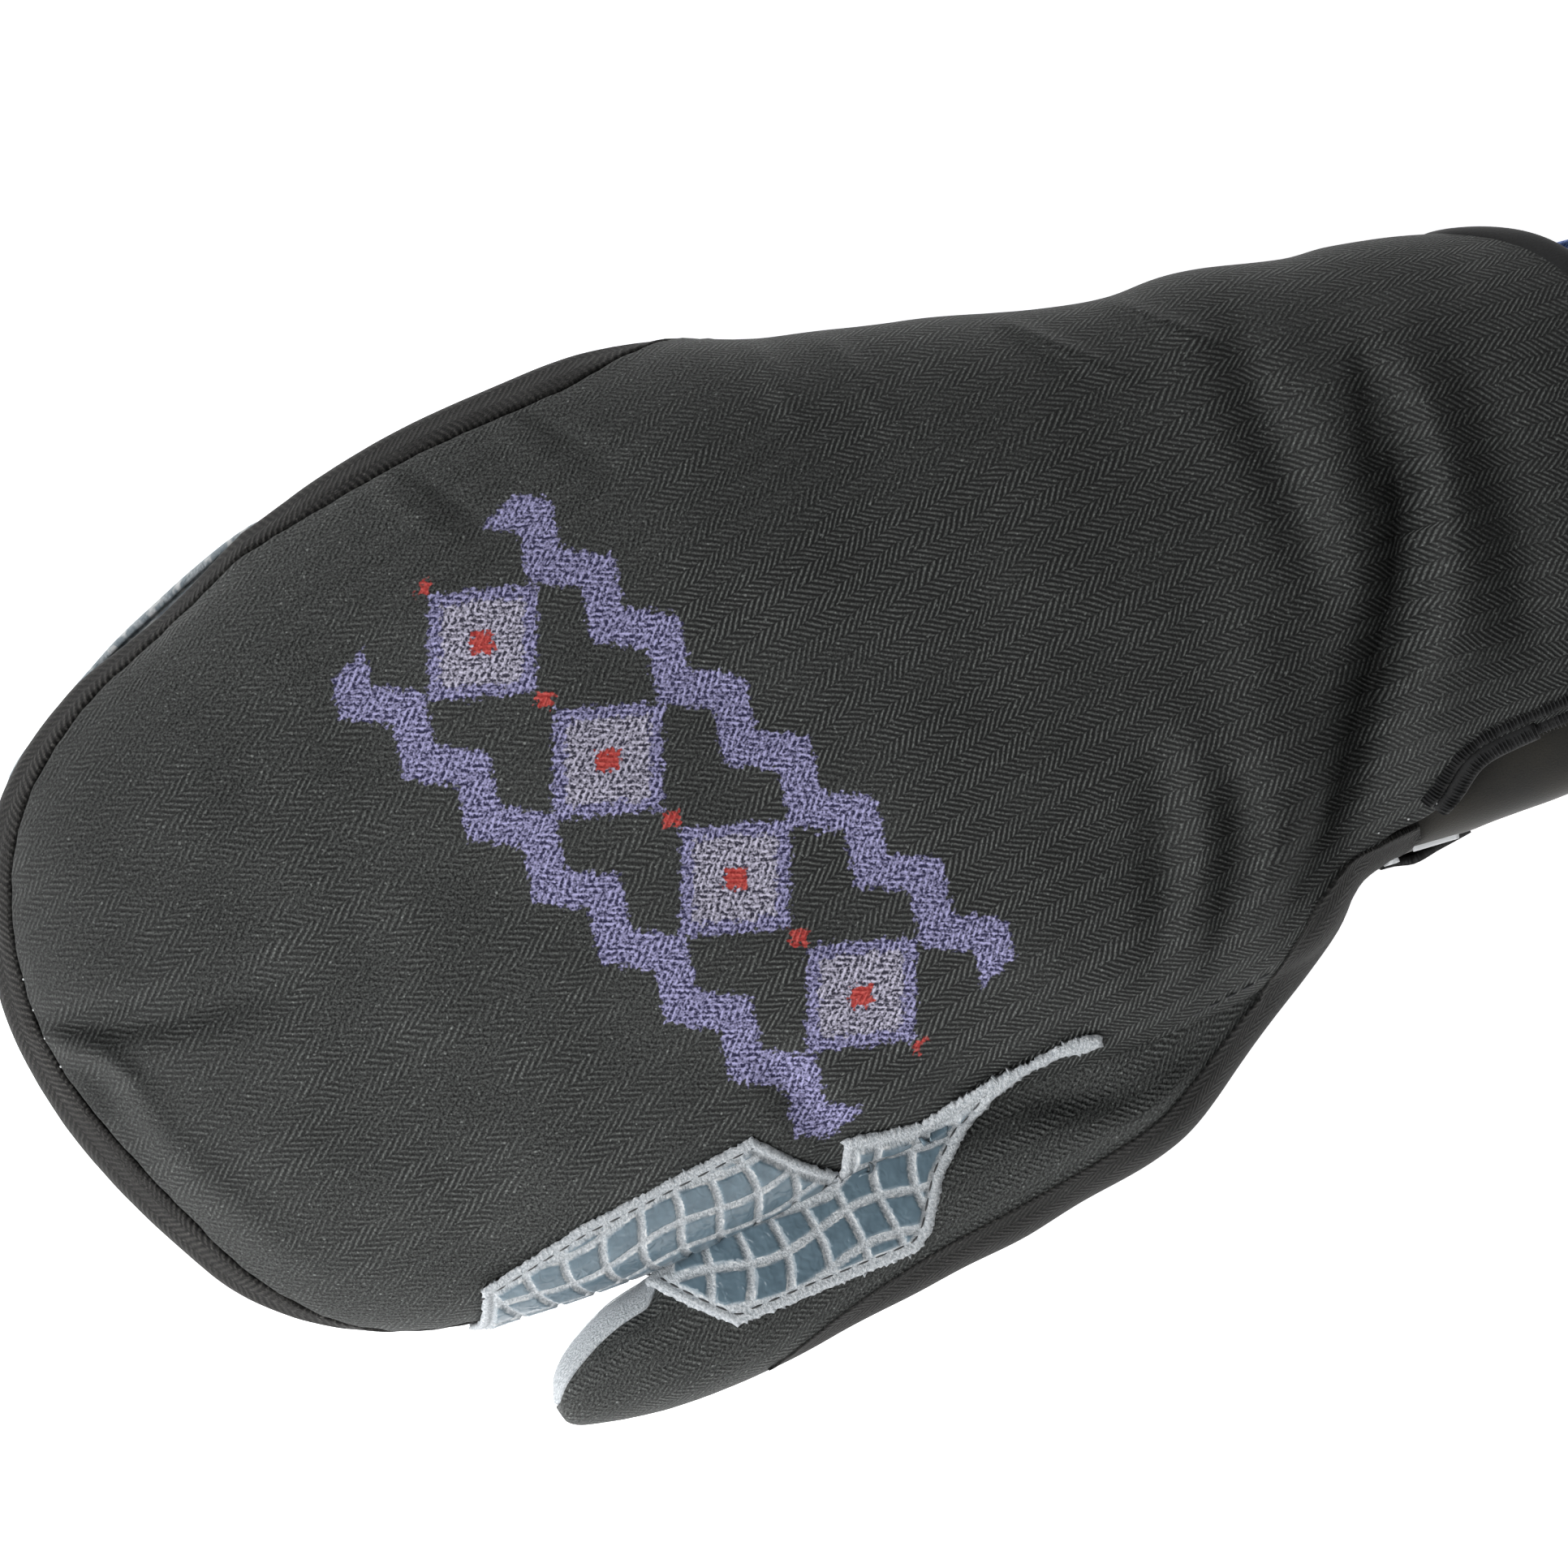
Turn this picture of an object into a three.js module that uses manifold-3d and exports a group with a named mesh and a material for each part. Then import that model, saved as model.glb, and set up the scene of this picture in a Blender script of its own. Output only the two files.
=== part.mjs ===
// Snowboard mitten for the right hand, lying palm down with its fingertips towards -X.
// The shell is a padded hand part with a sewn-on thumb, a short gauntlet cuff with a side vent,
// grip overlays on the index side, a closure strap under the wrist and a pull loop at the rim.
// Millimetres, +Z up, palm on the ground, +X along the mitten to the cuff, +Y to the little finger.

import * as THREE from 'three';
import { mergeVertices } from 'three/addons/utils/BufferGeometryUtils.js';
import Module from 'manifold-3d';

const wasm = await Module();
wasm.setup();

// Pattern measures start near the fingertips. These two put the middle of the mitten's box at the origin.
const PATTERN_CENTRE_X = 138.33;
const PATTERN_CENTRE_Y = -13.18;

// Walls and clearances
const GAP = 0.3;
const HAND_WALL = 3.6;
const CUFF_WALL = 2.6;
const WALL_CHANGE = { from: 190, to: 214 };
const OVERLAY_THICKNESS = 1.3;
const STRAP_THICKNESS = 1.4;

// Fingertip dome: a fan of rays from this point, with the distance to the outline at each angle
const TIP_CENTRE = { x: 52, y: -6 };
const TIP_RADII = [
  { degrees: 90, radius: 66.6 },
  { degrees: 105, radius: 62.4 },
  { degrees: 120, radius: 61.2 },
  { degrees: 140, radius: 62.4 },
  { degrees: 155, radius: 62.0 },
  { degrees: 173, radius: 60.4 },
  { degrees: 190, radius: 59.0 },
  { degrees: 205, radius: 58.6 },
  { degrees: 220, radius: 60.0 },
  { degrees: 232, radius: 62.6 },
  { degrees: 245, radius: 64.2 },
  { degrees: 258, radius: 65.0 },
  { degrees: 270, radius: 65.6 },
];

// Outline of the hand and cuff behind the fingertip dome, without the thumb
const SIDES = [
  { x: 52, littleFinger: 60.6, index: -71.6 },
  { x: 67, littleFinger: 64.3, index: -71.9 },
  { x: 82, littleFinger: 67.0, index: -71.4 },
  { x: 98, littleFinger: 68.7, index: -70.2 },
  { x: 114, littleFinger: 69.2, index: -68.4 },
  { x: 129, littleFinger: 66.6, index: -67.0 },
  { x: 144, littleFinger: 61.8, index: -66.5 },
  { x: 160, littleFinger: 58.0, index: -66.0 },
  { x: 175, littleFinger: 55.5, index: -64.5 },
  { x: 187, littleFinger: 52.4, index: -61.5 },
  { x: 196, littleFinger: 50.8, index: -57.8 },
  { x: 204, littleFinger: 50.6, index: -51.8 },
  { x: 212, littleFinger: 50.0, index: -48.8 },
  { x: 224, littleFinger: 47.8, index: -48.0 },
  { x: 238, littleFinger: 45.8, index: -48.0 },
  { x: 252, littleFinger: 42.9, index: -47.8 },
  { x: 266, littleFinger: 40.2, index: -47.4 },
  { x: 290, littleFinger: 38.0, index: -47.0 },
];

// Heights: crown of the back, underside, and the widest line on each side
const HEIGHTS = [
  { x: 52, crown: 45, underside: 0, littleFinger: 15, index: 19 },
  { x: 90, crown: 48, underside: 0, littleFinger: 17, index: 23 },
  { x: 130, crown: 50, underside: 0, littleFinger: 18, index: 24 },
  { x: 165, crown: 51, underside: 0, littleFinger: 20, index: 24 },
  { x: 190, crown: 51, underside: 0.2, littleFinger: 22, index: 24 },
  { x: 205, crown: 52, underside: 2.6, littleFinger: 24, index: 25 },
  { x: 230, crown: 54, underside: 2.6, littleFinger: 26, index: 26 },
  { x: 250, crown: 55, underside: 0.8, littleFinger: 27, index: 27 },
  { x: 290, crown: 56, underside: 0.8, littleFinger: 28, index: 28 },
];
const TIP_WIDEST = 12;
const BACK_ROUNDNESS = 2.35;
const PALM_ROUNDNESS = 3.4;
const PALM_FLATTENING = 1.4;
const SPINE_SHIFT_LENGTH = 60;

// Thumb, as sections across the mitten from its tip to where it runs into the hand
const THUMB = [
  { x: 55.0, outer: -90.0, inner: -88.0, underside: 11, top: 14 },
  { x: 56.2, outer: -92.3, inner: -84.6, underside: 7, top: 19 },
  { x: 60.0, outer: -94.0, inner: -80.8, underside: 3, top: 23 },
  { x: 68.0, outer: -95.4, inner: -76.4, underside: 0.8, top: 26 },
  { x: 78.0, outer: -95.6, inner: -73.6, underside: 0, top: 28 },
  { x: 90.0, outer: -94.6, inner: -68.0, underside: 0, top: 29.5 },
  { x: 106, outer: -92.2, inner: -59.0, underside: 0, top: 30.5 },
  { x: 121, outer: -89.4, inner: -53.0, underside: 0, top: 31.5 },
  { x: 137, outer: -87.1, inner: -49.0, underside: 0, top: 32.5 },
  { x: 152, outer: -84.3, inner: -46.0, underside: 0, top: 33.5 },
  { x: 163, outer: -81.2, inner: -43.0, underside: 0, top: 33.5 },
  { x: 171, outer: -76.6, inner: -40.0, underside: 0, top: 33.0 },
  { x: 180, outer: -70.8, inner: -36.0, underside: 0, top: 32.0 },
  { x: 189, outer: -64.4, inner: -32.0, underside: 0.6, top: 30.5 },
  { x: 199, outer: -54.0, inner: -28.0, underside: 3, top: 28.0 },
];
const THUMB_ROUNDNESS = 2.3;
const THUMB_SECTIONS_TO_TIP = 1.6;
const SMALLEST_HALF_WIDTH = 0.2;

// Folds of the padded back: the place of each fold's middle, its height and its half width.
// Those across the mitten have a row for each y, and those along it a row for each x. They fade out
// towards the widest line, and are spread wider on the inside to keep the wall's thickness.
const FOLD_FADE = 1.4;
const INNER_FOLD_SPREAD = 1.6;
const FOLDS_ACROSS = [
  {
    name: 'wrist valley',
    rows: [
      { y: -52, x: 194, height: 0, width: 6 },
      { y: -36, x: 204.8, height: -4.2, width: 6 },
      { y: -12.7, x: 220.3, height: -5.4, width: 6 },
      { y: 7, x: 228.3, height: -4.4, width: 6 },
      { y: 29, x: 229.5, height: 0, width: 6 },
    ],
  },
  {
    name: 'wrist ridge',
    rows: [
      { y: -42, x: 213, height: 0, width: 8 },
      { y: -18, x: 228.6, height: 2.6, width: 8 },
      { y: 13, x: 236, height: 2.4, width: 8 },
      { y: 36, x: 233, height: 0, width: 8 },
    ],
  },
  {
    name: 'knuckle side valley',
    rows: [
      { y: -12, x: 211.3, height: 0, width: 6 },
      { y: 8, x: 211.9, height: -1.8, width: 6 },
      { y: 37, x: 211.8, height: -1.4, width: 6 },
      { y: 52, x: 211.8, height: -0.4, width: 6 },
    ],
  },
  {
    name: 'valley after the gather',
    rows: [
      { y: -61, x: 172, height: 0, width: 5 },
      { y: -46, x: 182, height: -2.0, width: 5 },
      { y: -31, x: 188.5, height: -1.2, width: 5 },
      { y: -24, x: 190.5, height: 0, width: 5 },
    ],
  },
  {
    name: 'little finger crease',
    rows: [
      { y: 38, x: 157, height: 0, width: 5 },
      { y: 60, x: 155, height: -1.4, width: 5 },
    ],
  },
  {
    name: 'fingertip ridge',
    rows: [
      { y: -46, x: 32, height: 0, width: 9 },
      { y: -27, x: 19, height: 1.6, width: 9 },
      { y: -10, x: 8, height: 0, width: 9 },
    ],
  },
];
const FOLDS_ALONG = [
  {
    name: 'fingertip crease',
    rows: [
      { x: -6, y: -3, height: -0.4, width: 9 },
      { x: 14, y: -6.5, height: -2.4, width: 9 },
      { x: 34, y: -9.5, height: -2.0, width: 9 },
      { x: 56, y: -11, height: 0, width: 9 },
    ],
  },
];

// Seams in plan. The band's seam runs inside the outline by these amounts.
const BAND_INSET = { littleFinger: 5.4, tip: 4.4, index: 1.6 };
const BAND_ENDS_AT_X = { littleFinger: 107, index: 80 };
const PALM_SEAM_HEIGHT = 9;
const BACK_INDEX_SEAM = [
  { x: 185, y: -61.0 },
  { x: 191, y: -55.5 },
  { x: 199, y: -48.0 },
  { x: 208, y: -45.6 },
  { x: 218, y: -44.1 },
];
const VENT_EDGE = [
  { x: 224.7, y: -38.8 },
  { x: 233.4, y: -37.2 },
  { x: 245.0, y: -36.4 },
  { x: 255.0, y: -35.6 },
];
const BACK_RIM = [
  { x: 262.0, y: -33.0 },
  { x: 267.5, y: -27.0 },
  { x: 270.2, y: -16.0 },
  { x: 271.0, y: 0.0 },
  { x: 270.4, y: 14.0 },
  { x: 268.4, y: 25.0 },
  { x: 265.2, y: 32.0 },
  { x: 260.4, y: 37.0 },
  { x: 254.5, y: 40.8 },
];
const BACK_RIM_AT_SEAM_X = 250;
const BACK_RIM_CORNER_Y = 46;
const HEEL_SEAM = [
  { x: 90, y: -94.0 },
  { x: 105, y: -88.6 },
  { x: 120, y: -84.6 },
  { x: 137, y: -81.6 },
  { x: 152, y: -78.6 },
  { x: 162, y: -75.6 },
  { x: 174, y: -68.2 },
  { x: 185, y: -60.2 },
];
const CUFF_JOIN = { x: 206.8, indexY: -50.8 };
const THUMB_STRIP = { width: 3.4, lean: 0.4, sectionsAtX: [55.6, 58, 62, 68, 74] };
const THUMB_BACK_START = { x: 51, y: -89.6 };
const THUMB_BACK_REST = [
  { x: 80, y: -73 },
  { x: 90, y: -50 },
  { x: 200, y: -50 },
];

// Cuff, binding tape, strap and loop. The undercuff runs up under the back cuff as far as its tuck.
// A rim's tape starts and ends at these angles above or below the widest line.
const UNDERCUFF_DROP = 4.6;
const UNDERCUFF_RIM_X = 258;
const UNDERCUFF_TUCK = { y: -26, fromX: 219.4 };
const UNDERCUFF_AT_SEAM = { x: 218.6, y: -44.2 };
const BACK_RIM_TURN_DEGREES = [8, 0, -8, -16, -24, -30];
const BACK_RIM_LEAN = 0.2;
const UNDERCUFF_RIM_DEGREES = { indexFrom: 40, indexStep: 10, littleFingerTo: -36, littleFingerStep: 11 };
const BINDING = { halfWidth: 2.3, halfThickness: 1.9, sides: 8 };
const STRAP = { fromX: 207.6, toX: 230, standOff: 0.4, indexTopZ: 23, littleFingerTopZ: 8 };
const LOOP = { x: 238, y: 41.7, lowZ: 16, width: 9, degrees: -12.3 };
const LOOP_OUTLINE = [
  { x: 30, y: 3.0 },
  { x: 42, y: 3.4 },
  { x: 48, y: -1.5 },
  { x: 42, y: -6.4 },
  { x: 30, y: -6.0 },
];
const LOOP_HOLE = [
  { x: 30, y: 1.4 },
  { x: 41, y: 1.8 },
  { x: 46.4, y: -1.5 },
  { x: 41, y: -4.8 },
  { x: 30, y: -4.4 },
];
const LOOP_LEGS = { length: 16, thickness: 3, holeStart: 18.5 };

// Grip overlays in plan, with the pointed upper edges that show on the back
const FINGER_OVERLAY = [
  { x: 47.6, y: -84 },
  { x: 47.6, y: -73.4 },
  { x: 51.1, y: -67.1 },
  { x: 69.1, y: -63.0 },
  { x: 99.3, y: -59.0 },
  { x: 109.1, y: -68.2 },
  { x: 107.0, y: -69.3 },
  { x: 81.4, y: -71.5 },
  { x: 80.6, y: -84 },
];
const WEB_OVERLAY = [
  { x: 107.2, y: -69.9 },
  { x: 110.4, y: -69.4 },
  { x: 114.1, y: -64.0 },
  { x: 125.2, y: -63.7 },
  { x: 135.7, y: -61.2 },
  { x: 151.5, y: -59.1 },
  { x: 156.2, y: -59.4 },
  { x: 156.4, y: -61.6 },
  { x: 151.0, y: -61.8 },
  { x: 137.5, y: -63.9 },
  { x: 126.7, y: -73.2 },
  { x: 123.0, y: -80.2 },
  { x: 118.6, y: -82.8 },
  { x: 86.6, y: -85.8 },
  { x: 75.9, y: -76.6 },
  { x: 81.6, y: -72.1 },
];
const OVERLAY_LOW_Z = 4;

const FAR = 120;

// Fineness of the surfaces: length of a step along the mitten, steps round the fingertips, and steps
// from the widest line up to the crown and down to the middle of the underside
const OUTER = { step: 7, tipSteps: 20, above: 9, below: 4 };
const INNER = { step: 10, tipSteps: 14, above: 7, below: 4 };
const CUFF_OUTER = { step: 11, tipSteps: 6, above: 7, below: 4 };
const CUFF_INNER = { step: 16, tipSteps: 6, above: 6, below: 4 };
const THUMB_OUTER = { steps: 18, sides: 18 };
const THUMB_INNER = { steps: 12, sides: 12 };
const BAND_SEAM = { step: 9.2, tipSteps: 22 };
const SEAM_STEPS = 10;
const RIM_STEPS = 30;
const LOOP_STEPS = 30;
const FULL_X = 276;
const OPEN_X = 288;

// Reads a column of a table at a place between its rows, on a smooth curve
function column(rows, key, name, at) {
  const last = rows.length - 1;
  let row = 0;
  while (row < last - 1 && at > rows[row + 1][key]) {
    row += 1;
  }
  const left = rows[row];
  const right = rows[row + 1];
  const before = rows[Math.max(row - 1, 0)];
  const after = rows[Math.min(row + 2, last)];
  const span = right[key] - left[key];
  const t = THREE.MathUtils.clamp((at - left[key]) / span, 0, 1);
  const slopeLeft = span * (right[name] - before[name]) / (right[key] - before[key]);
  const slopeRight = span * (after[name] - left[name]) / (after[key] - left[key]);
  const t2 = t * t;
  const t3 = t2 * t;
  return (2 * t3 - 3 * t2 + 1) * left[name] + (t3 - 2 * t2 + t) * slopeLeft
    + (3 * t2 - 2 * t3) * right[name] + (t3 - t2) * slopeRight;
}

function signedPower(value, power) {
  return Math.sign(value) * Math.pow(Math.abs(value), power);
}

// Height of one fold at a place along it and at a place across it
function foldAt(rows, key, other, along, across, spread) {
  const beside = (across - column(rows, key, other, along)) / (column(rows, key, 'width', along) * spread);
  return column(rows, key, 'height', along) * Math.exp(-beside * beside);
}

function foldHeight(x, y, spread) {
  let height = 0;
  for (const { rows } of FOLDS_ACROSS) {
    height += foldAt(rows, 'y', 'x', y, x, spread);
  }
  for (const { rows } of FOLDS_ALONG) {
    height += foldAt(rows, 'x', 'y', x, y, spread);
  }
  return height;
}

function wallAt(x) {
  const t = THREE.MathUtils.smoothstep(x, WALL_CHANGE.from, WALL_CHANGE.to);
  return THREE.MathUtils.lerp(HAND_WALL, CUFF_WALL, t);
}

// A ray runs from the mitten's spine to its outline. Rays go from the cuff's little finger side,
// round the fingertips, to the cuff's index side.
function sideRay(x, side) {
  const littleFinger = column(SIDES, 'x', 'littleFinger', x);
  const index = column(SIDES, 'x', 'index', x);
  const edgeY = side === 'index' ? index : littleFinger;
  const blend = THREE.MathUtils.smoothstep(x, TIP_CENTRE.x, TIP_CENTRE.x + SPINE_SHIFT_LENGTH);
  const spineY = THREE.MathUtils.lerp(TIP_CENTRE.y, (littleFinger + index) / 2, blend);
  return {
    spine: new THREE.Vector2(x, spineY),
    edge: new THREE.Vector2(x, edgeY),
    widest: column(HEIGHTS, 'x', side, x),
    seamInset: side === 'index' ? BAND_INSET.index : BAND_INSET.littleFinger,
  };
}

function tipRay(degrees) {
  const radius = column(TIP_RADII, 'degrees', 'radius', degrees);
  const angle = THREE.MathUtils.degToRad(degrees);
  const spine = new THREE.Vector2(TIP_CENTRE.x, TIP_CENTRE.y);
  const edge = new THREE.Vector2(Math.cos(angle), Math.sin(angle)).multiplyScalar(radius).add(spine);
  const side = degrees < 180 ? 'littleFinger' : 'index';
  const towardsTip = Math.sin(THREE.MathUtils.degToRad(degrees - 90));
  return {
    spine,
    edge,
    widest: THREE.MathUtils.lerp(HEIGHTS[0][side], TIP_WIDEST, towardsTip),
    seamInset: THREE.MathUtils.lerp(BAND_INSET[side], BAND_INSET.tip, Math.sqrt(towardsTip)),
  };
}

function allRays(endX, step, tipSteps) {
  const count = Math.round((endX - TIP_CENTRE.x) / step);
  const rays = [];
  for (let i = count; i > 0; i -= 1) {
    rays.push(sideRay(TIP_CENTRE.x + (endX - TIP_CENTRE.x) * i / count, 'littleFinger'));
  }
  for (let i = 0; i <= tipSteps; i += 1) {
    rays.push(tipRay(90 + 180 * i / tipSteps));
  }
  for (let i = 1; i <= count; i += 1) {
    rays.push(sideRay(TIP_CENTRE.x + (endX - TIP_CENTRE.x) * i / count, 'index'));
  }
  return rays;
}

// A point of the hand's surface: up is +1 at the crown, 0 at the widest line and -1 at the underside.
// grow moves the surface out, and takeWall moves it in by the local wall.
function handPoint(ray, angle, { grow = 0, takeWall = false, drop = 0 }) {
  const x = ray.spine.x;
  const offset = takeWall ? grow - wallAt(x) : grow;
  const reach = ray.edge.clone().sub(ray.spine);
  const length = reach.length() + offset;
  const up = Math.sin(angle);
  const roundness = up >= 0 ? BACK_ROUNDNESS : PALM_ROUNDNESS;
  const share = Math.pow(Math.max(Math.cos(angle), 0), 2 / roundness);
  const rise = Math.pow(Math.abs(up), 2 / roundness);
  const plan = reach.normalize().multiplyScalar(length * share).add(ray.spine);
  const crown = column(HEIGHTS, 'x', 'crown', Math.max(x, TIP_CENTRE.x)) + offset - drop;
  const underside = Math.max(column(HEIGHTS, 'x', 'underside', x), 0) - offset;
  const folds = foldHeight(plan.x, plan.y, takeWall ? INNER_FOLD_SPREAD : 1);
  let z;
  if (up >= 0) {
    z = ray.widest + (crown - ray.widest) * rise + folds * Math.min(1, FOLD_FADE * up);
  } else {
    z = Math.max(ray.widest - (ray.widest - underside + PALM_FLATTENING) * rise, underside);
  }
  return new THREE.Vector3(plan.x, plan.y, z);
}

// Points worked out twice, such as those on the spine, come out the same to a thousandth
function snap(value) {
  return Math.round(value * 1000) / 1000;
}

// Collects the triangles of a closed skin
class Skin {
  constructor() {
    this.positions = [];
  }

  triangle(...corners) {
    for (const corner of corners) {
      this.positions.push(snap(corner.x), snap(corner.y), snap(corner.z));
    }
  }

  quad(a, b, c, d) {
    this.triangle(a, b, c);
    this.triangle(a, c, d);
  }

  geometry() {
    const geometry = new THREE.BufferGeometry();
    geometry.setAttribute('position', new THREE.Float32BufferAttribute(this.positions, 3));
    return geometry;
  }
}

// Drops triangles that merging has left without an area and gives a solid for joining and cutting
function solidOf(geometry) {
  const bare = geometry.clone();
  bare.deleteAttribute('normal');
  bare.deleteAttribute('uv');
  const merged = mergeVertices(bare, 1e-4);
  const index = merged.index.array;
  const kept = [];
  for (let i = 0; i < index.length; i += 3) {
    const [a, b, c] = [index[i], index[i + 1], index[i + 2]];
    if (a !== b && b !== c && c !== a) {
      kept.push(a, b, c);
    }
  }
  const mesh = new wasm.Mesh({
    numProp: 3,
    vertProperties: new Float32Array(merged.attributes.position.array),
    triVerts: new Uint32Array(kept),
  });
  return new wasm.Manifold(mesh);
}

function handSolid(endX, size, options) {
  const rays = allRays(endX, size.step, size.tipSteps);
  const rows = rays.map((ray) => {
    const row = [];
    for (let j = -size.below; j <= size.above; j += 1) {
      const angle = (j < 0 ? j / size.below : j / size.above) * Math.PI / 2;
      row.push(handPoint(ray, angle, options));
    }
    return row;
  });
  const skin = new Skin();
  for (let i = 0; i + 1 < rows.length; i += 1) {
    for (let j = 0; j + 1 < rows[i].length; j += 1) {
      skin.quad(rows[i][j], rows[i + 1][j], rows[i + 1][j + 1], rows[i][j + 1]);
    }
  }
  const first = rows[0];
  const last = rows[rows.length - 1];
  for (let j = 0; j + 1 < first.length; j += 1) {
    skin.quad(first[j], first[j + 1], last[j + 1], last[j]);
  }
  return solidOf(skin.geometry());
}

function thumbPoint(x, angle, offset) {
  const outer = column(THUMB, 'x', 'outer', x);
  const inner = column(THUMB, 'x', 'inner', x);
  const underside = Math.max(column(THUMB, 'x', 'underside', x), 0);
  const top = column(THUMB, 'x', 'top', x);
  const halfWidth = Math.max((inner - outer) / 2 + offset, SMALLEST_HALF_WIDTH);
  const halfHeight = Math.max((top - underside) / 2 + offset, SMALLEST_HALF_WIDTH);
  const across = signedPower(Math.cos(angle), 2 / THUMB_ROUNDNESS);
  const up = signedPower(Math.sin(angle), 2 / THUMB_ROUNDNESS);
  const y = (inner + outer) / 2 + halfWidth * across;
  const middle = (top + underside) / 2;
  const z = Math.max(middle + (halfHeight + PALM_FLATTENING) * up, underside - offset);
  return new THREE.Vector3(x, y, up > 0 ? middle + halfHeight * up : z);
}

function thumbSolid({ steps, sides }, offset) {
  const first = THUMB[0].x;
  const last = THUMB[THUMB.length - 1].x;
  const stations = [];
  for (let i = 0; i <= steps; i += 1) {
    const t = i / steps;
    stations.push(first - offset + (last - first + offset) * Math.pow(t, THUMB_SECTIONS_TO_TIP));
  }
  const rings = stations.map((x) => {
    const tableX = first + (x - first + offset) * (last - first) / (last - first + offset);
    const ring = [];
    for (let j = 0; j < sides; j += 1) {
      const point = thumbPoint(tableX, 2 * Math.PI * j / sides, offset);
      point.x = x;
      ring.push(point);
    }
    return ring;
  });
  const skin = new Skin();
  for (let i = 0; i + 1 < rings.length; i += 1) {
    for (let j = 0; j < sides; j += 1) {
      const k = (j + 1) % sides;
      skin.quad(rings[i][j], rings[i][k], rings[i + 1][k], rings[i + 1][j]);
    }
  }
  const middle = (ring) => ring.reduce((sum, p) => sum.add(p), new THREE.Vector3()).divideScalar(sides);
  const start = middle(rings[0]);
  const end = middle(rings[rings.length - 1]);
  for (let j = 0; j < sides; j += 1) {
    const k = (j + 1) % sides;
    skin.triangle(start, rings[0][k], rings[0][j]);
    skin.triangle(end, rings[rings.length - 1][j], rings[rings.length - 1][k]);
  }
  return solidOf(skin.geometry());
}

function grownOutline(points, distance) {
  const ring = points.map((p) => new THREE.Vector2(p.x, p.y));
  const turn = THREE.ShapeUtils.area(ring) > 0 ? 1 : -1;
  return ring.map((point, i) => {
    const before = ring[(i + ring.length - 1) % ring.length];
    const after = ring[(i + 1) % ring.length];
    const a = point.clone().sub(before).normalize();
    const b = after.clone().sub(point).normalize();
    const out = new THREE.Vector2(a.y + b.y, -(a.x + b.x)).multiplyScalar(turn);
    const stretch = distance / Math.max(Math.sqrt((1 + a.dot(b)) / 2), 0.4);
    return out.normalize().multiplyScalar(stretch).add(point);
  });
}

function prism(points, lowZ, highZ, grow = 0) {
  const outline = grownOutline(points, grow);
  const geometry = new THREE.ExtrudeGeometry(new THREE.Shape(outline), {
    depth: highZ - lowZ + 2 * grow,
    bevelEnabled: false,
  });
  geometry.translate(0, 0, lowZ - grow);
  return solidOf(geometry);
}

// A strip of oval section along a path, with the given directions as its thickness
function tape(path, normals, halfWidth, halfThickness, sides) {
  const rings = path.map((point, i) => {
    const before = path[Math.max(i - 1, 0)];
    const after = path[Math.min(i + 1, path.length - 1)];
    const along = after.clone().sub(before).normalize();
    const normal = normals[i].clone().addScaledVector(along, -normals[i].dot(along)).normalize();
    const side = new THREE.Vector3().crossVectors(normal, along);
    const ring = [];
    for (let j = 0; j < sides; j += 1) {
      const angle = 2 * Math.PI * j / sides;
      ring.push(point.clone()
        .addScaledVector(side, halfWidth * Math.cos(angle))
        .addScaledVector(normal, halfThickness * Math.sin(angle)));
    }
    return ring;
  });
  const skin = new Skin();
  for (let i = 0; i + 1 < rings.length; i += 1) {
    for (let j = 0; j < sides; j += 1) {
      const k = (j + 1) % sides;
      skin.quad(rings[i][j], rings[i][k], rings[i + 1][k], rings[i + 1][j]);
    }
  }
  const lastRing = rings[rings.length - 1];
  for (let j = 0; j < sides; j += 1) {
    const k = (j + 1) % sides;
    skin.triangle(path[0], rings[0][k], rings[0][j]);
    skin.triangle(path[path.length - 1], lastRing[j], lastRing[k]);
  }
  return solidOf(skin.geometry());
}

// Keeps the largest body of a cut piece, without the slivers that a curved seam can leave
function largest(solid) {
  const bodies = solid.decompose();
  bodies.sort((a, b) => b.volume() - a.volume());
  return bodies[0];
}

function smoothLine(points, count) {
  const curve = new THREE.SplineCurve(points.map((p) => new THREE.Vector2(p.x, p.y)));
  return curve.getPoints(count);
}

// A place on the skin is a ray and an angle on it. This finds the one above a point in plan.
function placeAbove({ x, y }) {
  const side = y < 0 ? 'index' : 'littleFinger';
  const ray = sideRay(x, side);
  const share = Math.min(Math.abs(y - ray.spine.y) / Math.abs(ray.edge.y - ray.spine.y), 1);
  return { x, side, angle: Math.acos(Math.pow(share, BACK_ROUNDNESS / 2)) };
}

function placePoint({ x, side, angle }, options) {
  return handPoint(sideRay(x, side), angle, options);
}

function placeNormal({ x, side, angle }, options) {
  const here = placePoint({ x, side, angle }, options);
  const ahead = placePoint({ x: x + 1, side, angle }, options).sub(here);
  const lower = placePoint({ x, side, angle: angle - 0.05 }, options).sub(here);
  const normal = new THREE.Vector3().crossVectors(ahead, lower).normalize();
  return side === 'index' ? normal : normal.negate();
}

function tapeAlong(places, options, extra) {
  return tape(
    places.map((place) => placePoint(place, options)),
    places.map((place) => placeNormal(place, options)),
    BINDING.halfWidth + extra,
    BINDING.halfThickness + extra,
    BINDING.sides,
  );
}

const handOuter = handSolid(FULL_X, OUTER, {});
const handInner = handSolid(OPEN_X, INNER, { takeWall: true });
const thumbOuter = thumbSolid(THUMB_OUTER, 0);
const thumbInner = thumbSolid(THUMB_INNER, -HAND_WALL);
const thumbClear = thumbSolid(THUMB_OUTER, GAP);
const hollow = handInner.add(thumbInner);

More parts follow.
